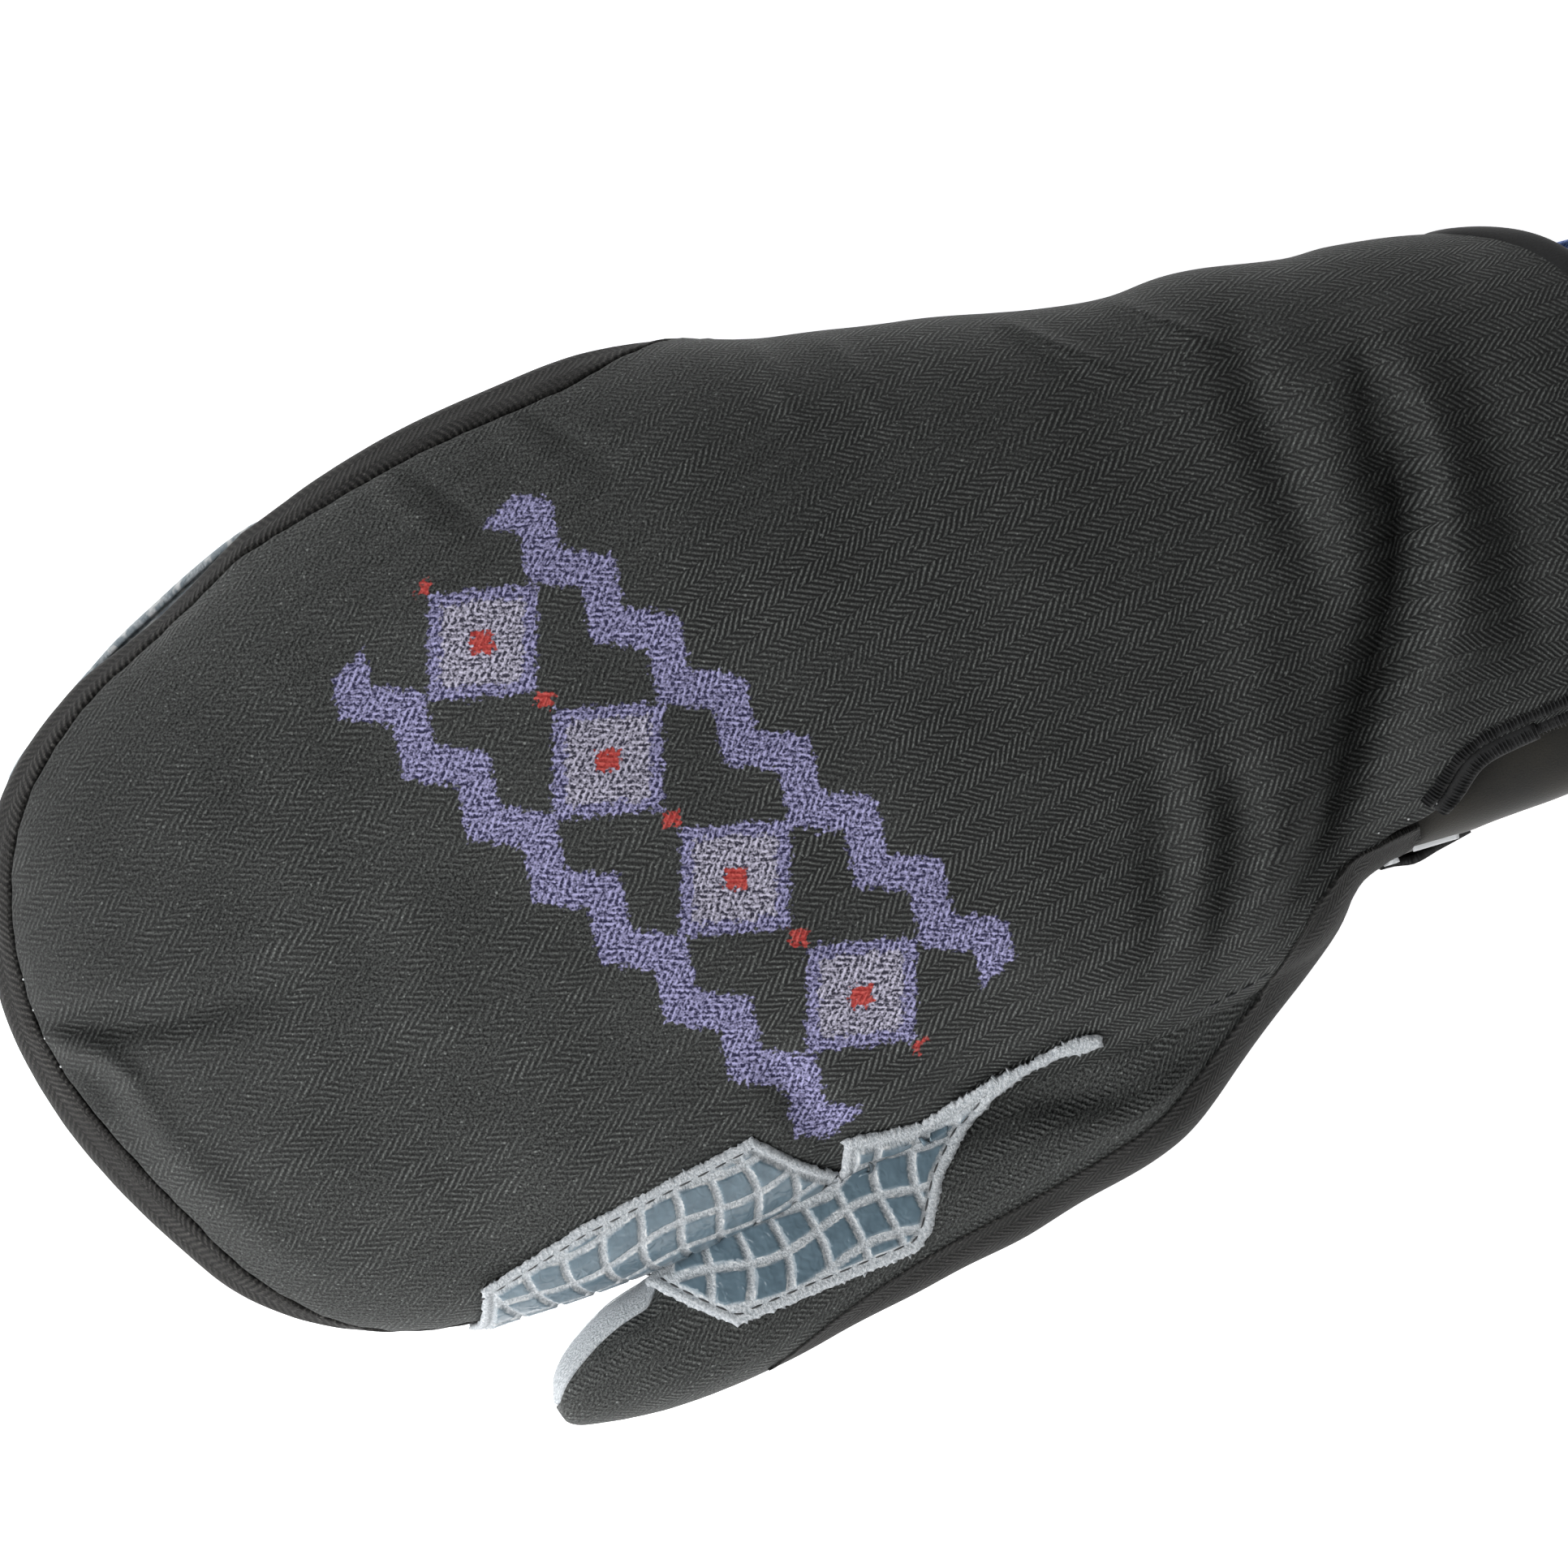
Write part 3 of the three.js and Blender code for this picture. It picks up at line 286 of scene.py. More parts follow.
# Sizes and places at the cuff. The undercuff hangs by its drop under the back cuff.
UNDERCUFF = {"drop": 4.6, "from_x": 207.1, "to_x": 257.0, "tuck_y": -27.0, "little_finger_z": 8.6}
BINDING = {"half_width": 2.9, "half_thickness": 1.8, "inset": 1.7}
STRAP = {"from_x": 207.8, "to_x": 223.8, "stand_off": 0.4, "thickness": 1.4}
LOOP = {"x": 238.0, "y": 38.8, "low_z": 16.0, "width": 9.0, "degrees": -12.3, "thickness": 1.6}

# How far the strap bulges out at its index side. Columns: x, bulge
STRAP_BULGE = np.array([(206.0, -1.2), (210.0, -0.2), (213.3, 0.8), (218.0, 0.2), (223.8, -0.5)])
# Plain pale bars inside the strap's edge. Columns: start x, start y, end x, end y
STRAP_BARS = [(208.6, -49.0, 210.8, -49.3), (213.2, -48.0, 220.8, -48.4)]

# Middle line of the pull loop's webbing, from one leg to the other, before it is turned. Columns: x, y
LOOP_LINE = np.array([
    (0, -0.8), (8, -0.8), (16, -0.6), (24, 0.9), (32, 2.2), (40, 2.6), (45.4, 1.4), (47.2, -1.5),
    (45.4, -4.4), (40, -5.6), (32, -5.2), (24, -3.9), (16, -2.4), (8, -2.2), (0, -2.2),
])

# Grip patch on the index finger: x along the mitten, and y in plan for points on the upper side.
# The lower points are given as a length of suede below the widest line instead.
FINGER_PATCH_TOP = [
    (51.2, -66.1), (60.5, -63.7), (69.6, -61.4), (84.5, -59.2), (99.6, -56.9), (110.4, -66.8),
]
FINGER_PATCH_LOW = [
    (106.6, 0.6), (94.0, 0.4), (81.6, 0.2), (80.4, -17.0), (46.3, -17.0), (46.1, -3.0),
]
WEB_PATCH = [
    (107.4, -69.0), (110.9, -66.8), (113.2, -62.0), (125.2, -63.6), (135.7, -61.2), (143.5, -60.2),
    (150.5, -58.9), (154.6, -58.9), (156.7, -59.9), (156.3, -61.4), (153.6, -61.7), (149.5, -61.0),
    (143.5, -61.7), (137.5, -63.9), (131.5, -68.0), (126.0, -73.4), (121.6, -80.6), (118.4, -83.2),
    (102.0, -84.2), (87.4, -85.2), (75.4, -75.0), (79.5, -72.6), (82.0, -70.0), (95.0, -69.4),
]
# The moulded grip: its cells and the lines between them, the bare border, the blocks' height, how far the
# cut edge frays, and how much of a block shows on the palm
GRIP = {"cell": 6.1, "line": 1.1, "border": 2.2, "relief": 0.5, "fray": 0.1, "palm_block": 0.5}

# Mesh fineness and wall thickness in millimetres, rows of points across each panel, and the places of
# the extra rows that round a seam's edge
SPACING = {"back": 1.3, "band": 1.2, "palm": 2.4, "thumb": 1.15, "cuff": 1.5, "patch": 0.4}
ROW_COUNT = {
    "back": 62, "band": 12, "palm": 30, "thumb_back": 34, "thumb_palm": 40, "heel": 16, "undercuff": 70,
    "undercuff_rim": 90, "strap": 44,
}
WALL = {
    "back": 2.4, "band": 2.2, "palm": 1.8, "thumb_back": 2.2, "thumb_palm": 1.6, "heel": 2.2,
    "undercuff": 1.8, "patch": 0.9,
}
SEAM_ROWS = np.array([0.0, 0.12, 0.3, 0.55, 0.9, 1.4])
PROFILE_SAMPLES = 97
SLOPE_STEP = 0.4
MERGE = 0.00001


def linear(hex_colour):
    """Turns an sRGB hex colour into the linear one that a shader works with."""
    values = [int(hex_colour[i:i + 2], 16) / 255 for i in (0, 2, 4)]
    return tuple(v / 12.92 if v <= 0.04045 else ((v + 0.055) / 1.055) ** 2.4 for v in values)


def column(rows, at, which=1):
    """Reads a table's column at places between its rows, on a smooth curve."""
    keys, values = rows[:, 0], rows[:, which]
    at = np.asarray(at, float)
    left = np.clip(np.searchsorted(keys, at, side="left") - 1, 0, len(keys) - 2)
    right = left + 1
    before, after = np.maximum(left - 1, 0), np.minimum(left + 2, len(keys) - 1)
    span = keys[right] - keys[left]
    t = np.clip((at - keys[left]) / span, 0, 1)
    slope_left = span * (values[right] - values[before]) / (keys[right] - keys[before])
    slope_right = span * (values[after] - values[left]) / (keys[after] - keys[left])
    return (
        (2 * t**3 - 3 * t**2 + 1) * values[left]
        + (t**3 - 2 * t**2 + t) * slope_left
        + (3 * t**2 - 2 * t**3) * values[right]
        + (t**3 - t**2) * slope_right
    )


def ease(value, low, high):
    """Goes smoothly from 0 at low to 1 at high."""
    t = np.clip((np.asarray(value, float) - low) / (high - low), 0, 1)
    return t * t * (3 - 2 * t)


def passage(x, name):
    """How far one shape has passed over into another, from 0 to 1."""
    return ease(x, *PASSAGES[name])


def fold_height(x, y, across, along):
    """Sums the folds' heights over a place in plan."""
    height = np.zeros(np.broadcast(x, y).shape)
    for folds, at, place in ((across, y, x), (along, x, y)):
        for rows in folds.values():
            table = np.array(rows, float)
            beside = (place - column(table, at, 1)) / column(table, at, 3)
            height = height + column(table, at, 2) * np.exp(-beside**2)
    return height


def ripple_height(x, y):
    """The soft undulation that the padding gives the cloth."""
    height = np.zeros(np.broadcast(x, y).shape)
    for wavelength, degrees, phase, size in RIPPLES:
        angle = math.radians(degrees)
        along = x * math.cos(angle) + y * math.sin(angle)
        height += size * np.sin(2 * math.pi * along / wavelength + phase)
    return height


class Rays:
    """Rays in plan from the mitten's spine to its outline, with the height of the widest line."""

    def __init__(self, spine, edge, widest):
        self.spine = spine
        self.edge = edge
        self.widest = widest

    def spread(self, shape):
        """The same rays, repeated along a second axis."""
        return Rays(
            np.broadcast_to(self.spine[:, None, :], (*shape, 2)),
            np.broadcast_to(self.edge[:, None, :], (*shape, 2)),
            np.broadcast_to(self.widest[:, None], shape),
        )


def side_rays(x, side):
    """Rays straight out to the little finger side or the index side."""
    little, index = column(SIDES, x, 1), column(SIDES, x, 2)
    edge_y = index if side == "index" else little
    spine_y = TIP_Y + ((little + index) / 2 - TIP_Y) * ease(x, TIP_X, TIP_X + SPINE_SHIFT_LENGTH)
    widest = column(HEIGHTS, x, 4 if side == "index" else 3)
    return Rays(np.stack([x, spine_y], -1), np.stack([x, edge_y], -1), widest)


def tip_rays(degrees):
    """Rays of the fan that makes the fingertip dome."""
    radius = column(TIP_RADII, degrees)
    angle = np.radians(degrees)
    spine = np.stack([np.full_like(angle, TIP_X), np.full_like(angle, TIP_Y)], -1)
    edge = spine + np.stack([np.cos(angle), np.sin(angle)], -1) * radius[..., None]
    side_widest = np.where(degrees < 180, HEIGHTS[0, 3], HEIGHTS[0, 4])
    towards_tip = np.sin(np.radians(degrees - 90))
    return Rays(spine, edge, side_widest + (TIP_WIDEST - side_widest) * towards_tip)


def hand_point(rays, angle, grow=0.0, drop=0.0, folds=True):
    """A point of the hand's surface. The angle is 90 degrees at the crown and 0 at the widest line."""
    x = rays.spine[..., 0]
    reach = rays.edge - rays.spine
    length = np.linalg.norm(reach, axis=-1)
    up = np.sin(angle)
    roundness = np.where(up >= 0, BACK_ROUNDNESS, PALM_ROUNDNESS)
    share = np.maximum(np.cos(angle), 0) ** (2 / roundness)
    rise = np.abs(up) ** (2 / roundness)
    plan = rays.spine + reach * ((length + grow) * share / length)[..., None]
    crown = column(HEIGHTS, np.maximum(x, TIP_X), 1) + grow - drop
    underside = np.maximum(column(HEIGHTS, x, 2), 0) - grow
    height = fold_height(plan[..., 0], plan[..., 1], FOLDS_ACROSS, FOLDS_ALONG) if folds else 0.0
    above = rays.widest + (crown - rays.widest) * rise + height * np.minimum(1, FOLD_FADE * up)
    below = np.maximum(rays.widest - (rays.widest - underside + PALM_FLATTENING) * rise, underside)
    return np.concatenate([plan, np.where(up >= 0, above, below)[..., None]], -1)


def unfolded(points, rays):
    """The same points of the back without its folds."""
    x, y, z = points[..., 0], points[..., 1], points[..., 2]
    height = fold_height(x, y, FOLDS_ACROSS, FOLDS_ALONG)
    widest = rays.widest[:, None]
    rise = np.clip((z - height - widest) / (column(HEIGHTS, np.maximum(x, TIP_X), 1) - widest), 0, 1)
    share = np.minimum(1, FOLD_FADE * rise ** (BACK_ROUNDNESS / 2))
    return np.stack([x, y, z - height * share], -1)


def palm_seam_angle(rays, height=PALM_SEAM_HEIGHT):
    """The angle at which the hand's lower half has this height."""
    underside = np.maximum(column(HEIGHTS, rays.spine[..., 0], 2), 0)
    rise = (rays.widest - height) / (rays.widest - underside + PALM_FLATTENING)
    return -np.arcsin(np.clip(rise, 0, 1) ** (PALM_ROUNDNESS / 2))


def inset_angle(rays, inset):
    """The angle of the surface point that lies this far inside the outline in plan."""
    length = np.linalg.norm(rays.edge - rays.spine, axis=-1)
    return np.arccos(np.clip(1 - inset / length, 0, 1) ** (BACK_ROUNDNESS / 2))


def angle_above(x, y):
    """The angle of the surface point above a place in plan."""
    side = "index" if np.mean(y) < 0 else "little_finger"
    rays = side_rays(np.asarray(x, float), side)
    share = np.abs(y - rays.spine[..., 1]) / np.abs(rays.edge[..., 1] - rays.spine[..., 1])
    return np.arccos(np.clip(share, 0, 1) ** (BACK_ROUNDNESS / 2))


def rim_x(nominal_x, y, angle):
    """Bends the straight end of the back cuff into its curved rim."""
    rim = np.where(angle > 0, column(BACK_RIM, np.clip(y, -36, 60)), BACK_RIM[-1, 1])
    stretch = (rim - RIM_WARP_X) / (RIM_NOMINAL_X - RIM_WARP_X)
    return np.where(nominal_x > RIM_WARP_X, RIM_WARP_X + (nominal_x - RIM_WARP_X) * stretch, nominal_x)


def back_side(nominal_x, angle, side):
    """Points of the back over straight rays, bent to the rim near the cuff's end."""
    nominal_x = np.broadcast_to(nominal_x[:, None], angle.shape)
    x = nominal_x
    for _ in range(4):
        points = hand_point(side_rays(x, side), angle, folds=False)
        x = rim_x(nominal_x, points[..., 1], angle)
    return hand_point(side_rays(x, side), angle)


def band_seam_angle(course, side):
    """The angle of the seam between the back and the side band."""
    rays = course_rays(side, course)
    seam = inset_angle(rays, column(BAND_INSET, degrees_round(side, course)))
    if side == "tip":
        return seam
    taper = ease(course, *BAND_TAPER[side])
    return seam * (1 - taper) + palm_seam_angle(rays) * taper


def degrees_round(side, course):
    """The angle round the fingertips, carried on along the sides as if they were bent too."""
    if side == "tip":
        return course
    beyond = np.degrees((course - TIP_X) / TIP_RADII[0, 1])
    return 90 - beyond if side == "little_finger" else 270 + beyond


def smooth_max(a, b, blend):
    """The larger of two heights, with a soft valley where they cross."""
    share = np.maximum(1 - np.abs(a - b) / blend, 0)
    return np.maximum(a, b) + blend / 4 * share**2


def hand_height(x, y):
    """Height of the hand's back over a place in plan, or far below where there is none."""
    height = np.full(np.broadcast(x, y).shape, -20.0)
    for side in ("little_finger", "index"):
        rays = side_rays(x, side)
        reach = rays.edge[..., 1] - rays.spine[..., 1]
        share = (y - rays.spine[..., 1]) / reach
        angle = np.arccos(np.clip(share, 0, 1) ** (BACK_ROUNDNESS / 2))
        points = hand_point(rays, angle)
        height = np.where((share >= 0) & (share <= 1), points[..., 2], height)
    return height


def inside_hand(points):
    """Whether points beside the index finger lie inside the hand."""
    rays = side_rays(points[..., 0], "index")
    reach = rays.edge[..., 1] - rays.spine[..., 1]
    share = np.clip((points[..., 1] - rays.spine[..., 1]) / reach, 0, 1)
    back = hand_point(rays, np.arccos(share ** (BACK_ROUNDNESS / 2)), folds=False)[..., 2]
    palm = hand_point(rays, -np.arccos(share ** (PALM_ROUNDNESS / 2)), folds=False)[..., 2]
    within = (points[..., 2] <= back) & (points[..., 2] >= palm - 0.05)
    return within & (share < 1)


def thumb_size(x):
    """Half width, half height, middle y, middle z and underside of the thumb's section."""
    outer, inner = column(THUMB, x, 1), column(THUMB, x, 2)
    underside, top = np.maximum(column(THUMB, x, 3), 0), column(THUMB, x, 4)
    return (inner - outer) / 2, (top - underside) / 2, (inner + outer) / 2, (top + underside) / 2, underside


def signed_power(value, power):
    return np.sign(value) * np.abs(value) ** power


def thumb_point(x, angle):
    """A point of the thumb's surface. The angle is 0 at its inner side and 90 degrees on top."""
    half_width, half_height, middle_y, middle_z, underside = thumb_size(x)
    across = signed_power(np.cos(angle), 2 / THUMB_ROUNDNESS)
    up = signed_power(np.sin(angle), 2 / THUMB_ROUNDNESS)
    low = np.maximum(middle_z + (half_height + PALM_FLATTENING) * up, underside)
    z = np.where(up > 0, middle_z + half_height * up, low)
    return np.stack([x + 0 * z, middle_y + half_width * across, z], -1)


def thumb_height(x, y):
    """Height of the thumb's top over a place in plan, or far below where there is none."""
    half_width, half_height, middle_y, middle_z, _ = thumb_size(x)
    share = np.abs(y - middle_y) / half_width
    up = np.sqrt(1 - np.clip(share, 0, 1) ** THUMB_ROUNDNESS) ** (2 / THUMB_ROUNDNESS)
    return np.where(share <= 1, middle_z + half_height * up, -20.0)


def thumb_plan_angle(x, y):
    """The angle on the thumb's upper half that lies above a place in plan."""
    half_width, _, middle_y, _, _ = thumb_size(x)
    share = np.clip((y - middle_y) / half_width, -1, 1)
    return np.arccos(signed_power(share, THUMB_ROUNDNESS / 2))


def thumb_seam_angle(x):
    """The angle on the thumb's outer side at the height of the palm's seam."""
    _, half_height, _, middle_z, _ = thumb_size(x)
    half_height = half_height + PALM_FLATTENING * (PALM_SEAM_HEIGHT < middle_z)
    up = np.clip((PALM_SEAM_HEIGHT - middle_z) / half_height, -1, 1)
    return math.pi - np.arcsin(signed_power(up, THUMB_ROUNDNESS / 2))


def crease_angle(x, start, end, missing):
    """Where the thumb's section first enters the hand, going from start to end."""
    t = np.linspace(0, 1, 241)
    angles = start[:, None] + (end - start)[:, None] * t
    within = inside_hand(thumb_point(x[:, None], angles))
    first = np.argmax(within, axis=1)
    found = angles[np.arange(len(x)), first]
    found = np.where(within.any(axis=1), found, missing)
    kernel = np.ones(5) / 5
    padded = np.concatenate([np.full(2, found[0]), found, np.full(2, found[-1])])
    return np.convolve(padded, kernel, mode="valid")


def spaced(low, high, step):
    """Even places from low to high, about a step apart."""
    return np.linspace(low, high, max(int(round(abs(high - low) / step)), 1) + 1)


def run_lengths(points):
    """Lengths along each row of points, from the row's first point."""
    steps = np.linalg.norm(np.diff(points, axis=1), axis=-1)
    return np.concatenate([np.zeros((len(points), 1)), np.cumsum(steps, axis=1)], axis=1)


def path_run(points):
    """Lengths along a path, from its first point."""
    return np.concatenate([[0.0], np.cumsum(np.linalg.norm(np.diff(points, axis=0), axis=1))])


def unit(vectors):
    """The same directions, one long."""
    return vectors / np.maximum(np.linalg.norm(vectors, axis=-1, keepdims=True), 1e-9)


def smoothed(path, times):
    """Rounds off a path's corners a little more each time."""
    for _ in range(times):
        path[1:-1] = (path[:-2] + 2 * path[1:-1] + path[2:]) / 4
    return path


def evenly(run, values, spacing):
    """Rows of values at even places along a run."""
    wanted = spaced(0, run[-1], spacing)
    return np.stack([np.interp(wanted, run, values[:, i]) for i in range(values.shape[1])], -1)


def hand_surface(rays, **shape):
    """A function that gives the hand's points at angles on these rays."""
    return lambda angles: hand_point(rays.spread(angles.shape), angles, **shape)


def laid_on(height, x, y, lift):
    """Points that stand off a height over places in plan, and their normals."""
    slope_x = (height(x + SLOPE_STEP, y) - height(x - SLOPE_STEP, y)) / (2 * SLOPE_STEP)
    slope_y = (height(x, y + SLOPE_STEP) - height(x, y - SLOPE_STEP)) / (2 * SLOPE_STEP)
    normals = unit(np.stack([-slope_x, -slope_y, np.ones_like(x)], -1))
    return np.stack([x, y, height(x, y)], -1) + normals * np.asarray(lift)[..., None], normals


def even_rows(surface, start, end, rows, seams=(True, False)):
    """Points along each ray from one angle to another, evenly spaced, with extra rows beside a seam."""
    t = np.linspace(0, 1, PROFILE_SAMPLES)
    angles = start[:, None] + (end - start)[:, None] * t
    run = run_lengths(surface(angles))
    total = run[:, -1:]
    shrink = np.minimum(total / (4 * SEAM_ROWS[-1]), 1)
    head = SEAM_ROWS * shrink if seams[0] else np.zeros_like(total)
    tail = total - SEAM_ROWS[::-1] * shrink if seams[1] else total
    middle = np.linspace(0, 1, rows)[1:-1] * (tail[:, :1] - head[:, -1:]) + head[:, -1:]
    wanted = np.concatenate([head, middle, tail], axis=1)
    placed = np.stack([np.interp(w, r, a) for w, r, a in zip(wanted, run, angles)])
    return surface(placed), wanted, total


def run_to(surface, start, end, angle):
    """The length along each ray from its start angle to another angle on it, where angles fall."""
    angles = start[:, None] + (end - start)[:, None] * np.linspace(0, 1, PROFILE_SAMPLES)
    run = run_lengths(surface(angles))
    return np.array([[np.interp(-angle, -a, r)] for a, r in zip(angles, run)])


def grid_normals(points, outwards=1):
    """Unit normals of a grid of points."""
    along = np.gradient(points, axis=0)
    across = np.gradient(points, axis=1)
    normals = np.cross(along, across) * outwards
    length = np.linalg.norm(normals, axis=-1, keepdims=True)
    return np.where(length > 1e-6, normals / np.maximum(length, 1e-6), (0.0, 0.0, 1.0))


def seam_roll(distance, radius):
    """How far a panel's face turns down at this distance from its seam."""
    t = np.clip(1 - distance / np.maximum(radius, 1e-6), 0, 1)
    return -radius * (1 - np.sqrt(1 - t**2))


def pucker(course, distance):
    """Small irregular gathers that a row of stitches pulls into the cloth beside it."""
    wave = np.sin(course * 0.9) + 0.7 * np.sin(course * 0.53 + 1.3) + 0.5 * np.sin(course * 1.67 + 0.4)
    return 0.12 * wave * np.exp(-distance / 3.5) * np.clip(distance / 0.8, 0, 1)


def to_row(points):
    """Pattern millimetres to metres in the frame."""
    return (np.asarray(points, float) - PATTERN_CENTRE) * MM


def add_object(name, data):
    """A new object in the scene."""
    made = bpy.data.objects.new(name, data)
    bpy.context.scene.collection.objects.link(made)
    return made


def build_mesh(name, points, faces, uv, attribute=None, grain=None):
    """Makes a mesh object in place, with maps of the cloth and of its grain in millimetres."""
    mesh = bpy.data.meshes.new(name)
    mesh.from_pydata(to_row(points).tolist(), [], faces)
    corners = np.zeros(len(mesh.loops), np.int32)
    mesh.loops.foreach_get("vertex_index", corners)
    for layer_name, flat in (("cloth", uv), ("grain", uv if grain is None else grain)):
        layer = mesh.uv_layers.new(name=layer_name)
        layer.data.foreach_set("uv", np.asarray(flat, np.float32)[corners].ravel())
    if attribute is not None:
        made = mesh.attributes.new("block", "FLOAT", "POINT")
        made.data.foreach_set("value", np.asarray(attribute, np.float32))
    shape = bmesh.new()
    shape.from_mesh(mesh)
    bmesh.ops.remove_doubles(shape, verts=shape.verts, dist=MERGE)
    bmesh.ops.dissolve_degenerate(shape, dist=MERGE / 2, edges=shape.edges)
    shape.to_mesh(mesh)
    shape.free()
    mesh.shade_smooth()
    return add_object(name, mesh)


def grain_map(uv):
    """Turns the cloth's grain with the panel: its columns rise over the fingers and sink to the cuff."""
    x = np.linspace(-60, 320, 381)
    slope, strokes = column(GRAIN, x, 1), column(GRAIN, x, 2)
    rise = np.cumsum(slope) * (x[1] - x[0])
    length = np.cumsum(strokes) * (x[1] - x[0])
    here, y = uv[..., 0], uv[..., 1]
    along = np.interp(here, x, length) + np.interp(here, x, slope * strokes) * y
    return np.stack([along, y - np.interp(here, x, rise)], -1)


def grid_piece(name, points, uv, outwards=1, bend=False):
    """Joins rows and columns of points into one skin."""
    rows, columns = points.shape[:2]
    index = np.arange(rows * columns).reshape(rows, columns)
    corners = [index[:-1, :-1], index[1:, :-1], index[1:, 1:], index[:-1, 1:]]
    if outwards < 0:
        corners.reverse()
    faces = np.stack([c.ravel() for c in corners], 1).tolist()
    flat = uv.reshape(-1, 2)
    return build_mesh(name, points.reshape(-1, 3), faces, flat, grain=grain_map(flat) if bend else None)


def give_wall(piece, thickness):
    """Gives a skin its thickness, inwards."""
    wall = piece.modifiers.new("wall", "SOLIDIFY")
    wall.thickness = thickness * MM
    wall.offset = -1
    wall.use_quality_normals = True


def finish_piece(piece, material, nodes=()):
    """Gives a piece its material and its body, and hides the solids that it stands for."""
    piece.data.materials.clear()
    piece.data.materials.append(material)
    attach(piece, "root")
    if nodes:
        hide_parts(*nodes)


# The kinds of node that are used most
MATH, VECTOR, MIX = "ShaderNodeMath", "ShaderNodeVectorMath", "ShaderNodeMix"
RANGE, NOISE, SHADER = "ShaderNodeMapRange", "ShaderNodeTexNoise", "ShaderNodeBsdfPrincipled"


def node(tree, kind, inputs=(), output=0, **settings):
    """Adds one node with its settings, links or fills its inputs, and gives one of its outputs."""
    made = tree.nodes.new(kind)
    for name, value in settings.items():
        setattr(made, name, value)
    pairs = inputs.items() if isinstance(inputs, dict) else enumerate(inputs)
    for key, value in pairs:
        if isinstance(value, bpy.types.NodeSocket):
            tree.links.new(value, made.inputs[key])
        else:
            made.inputs[key].default_value = value
    return made.outputs[output] if made.outputs else made


def sizes():
    return bpy.context.scene.mitten_sizes


def colours():
    return bpy.context.scene.mitten_colours


def start_material(name):
    """A new material with an empty node tree."""
    material = bpy.data.materials.new(name)
    material.use_nodes = True
    material.node_tree.nodes.clear()
    return material, material.node_tree


def opaque(colour):
    return (*colour, 1.0)


def herringbone(tree, across_width, slope):
    """The raised strokes of a herringbone twill and the grooves between its columns, from 0 to 1. Every other
    column's strokes are painted brighter, as painted light.
    """
    grain = node(tree, "ShaderNodeUVMap", uv_map="grain")
    pitch = sizes().stroke_pitch / MM
    wander = node(tree, NOISE, {"Vector": grain, "Scale": 0.07, "Detail": 2.0}, 1)
    bent = node(tree, VECTOR, [wander, (0.5, 0.5, 0.5)], operation="SUBTRACT")
    bent = node(tree, VECTOR, {0: bent, 3: 2.6}, operation="SCALE")
    bent = node(tree, VECTOR, [grain, bent], operation="ADD")
    split = node(tree, "ShaderNodeSeparateXYZ", [bent]).node
    along, across = split.outputs[0], split.outputs[1]
    zigzag = node(tree, MATH, [across, across_width], operation="PINGPONG")
    column_number = node(tree, MATH, [across, across_width], operation="DIVIDE")
    column_number = node(tree, MATH, [column_number], operation="FLOOR")
    shift = node(tree, MATH, [column_number, 2.2], operation="MULTIPLY")
    phase = node(tree, MATH, [zigzag, slope, along], operation="MULTIPLY_ADD")
    phase = node(tree, MATH, [phase, 2 * math.pi / pitch, shift], operation="MULTIPLY_ADD")
    stroke = node(tree, MATH, [phase], operation="SINE")
    stroke = node(tree, MATH, [stroke, 0.5, 0.5], operation="MULTIPLY_ADD")
    stroke = node(tree, MATH, [stroke, 1.5], operation="POWER")
    # Painted light: the strokes of every other column are made brighter, as if they caught the lamps more
    # than the columns leaning the other way
    other_way = node(tree, MATH, [column_number, 1.0], operation="PINGPONG")
    column_painted_light = node(tree, MATH, [other_way, 0.25, 0.85], operation="MULTIPLY_ADD")
    stroke = node(tree, MATH, [stroke, column_painted_light], operation="MULTIPLY")
    other_edge = node(tree, MATH, [across_width, zigzag], operation="SUBTRACT")
    nearest = node(tree, MATH, [zigzag, other_edge], operation="MINIMUM")
    body = node(tree, RANGE, [nearest, 0.0, 0.25, 0.45, 1.0])
    return node(tree, MATH, [stroke, body], operation="MULTIPLY")


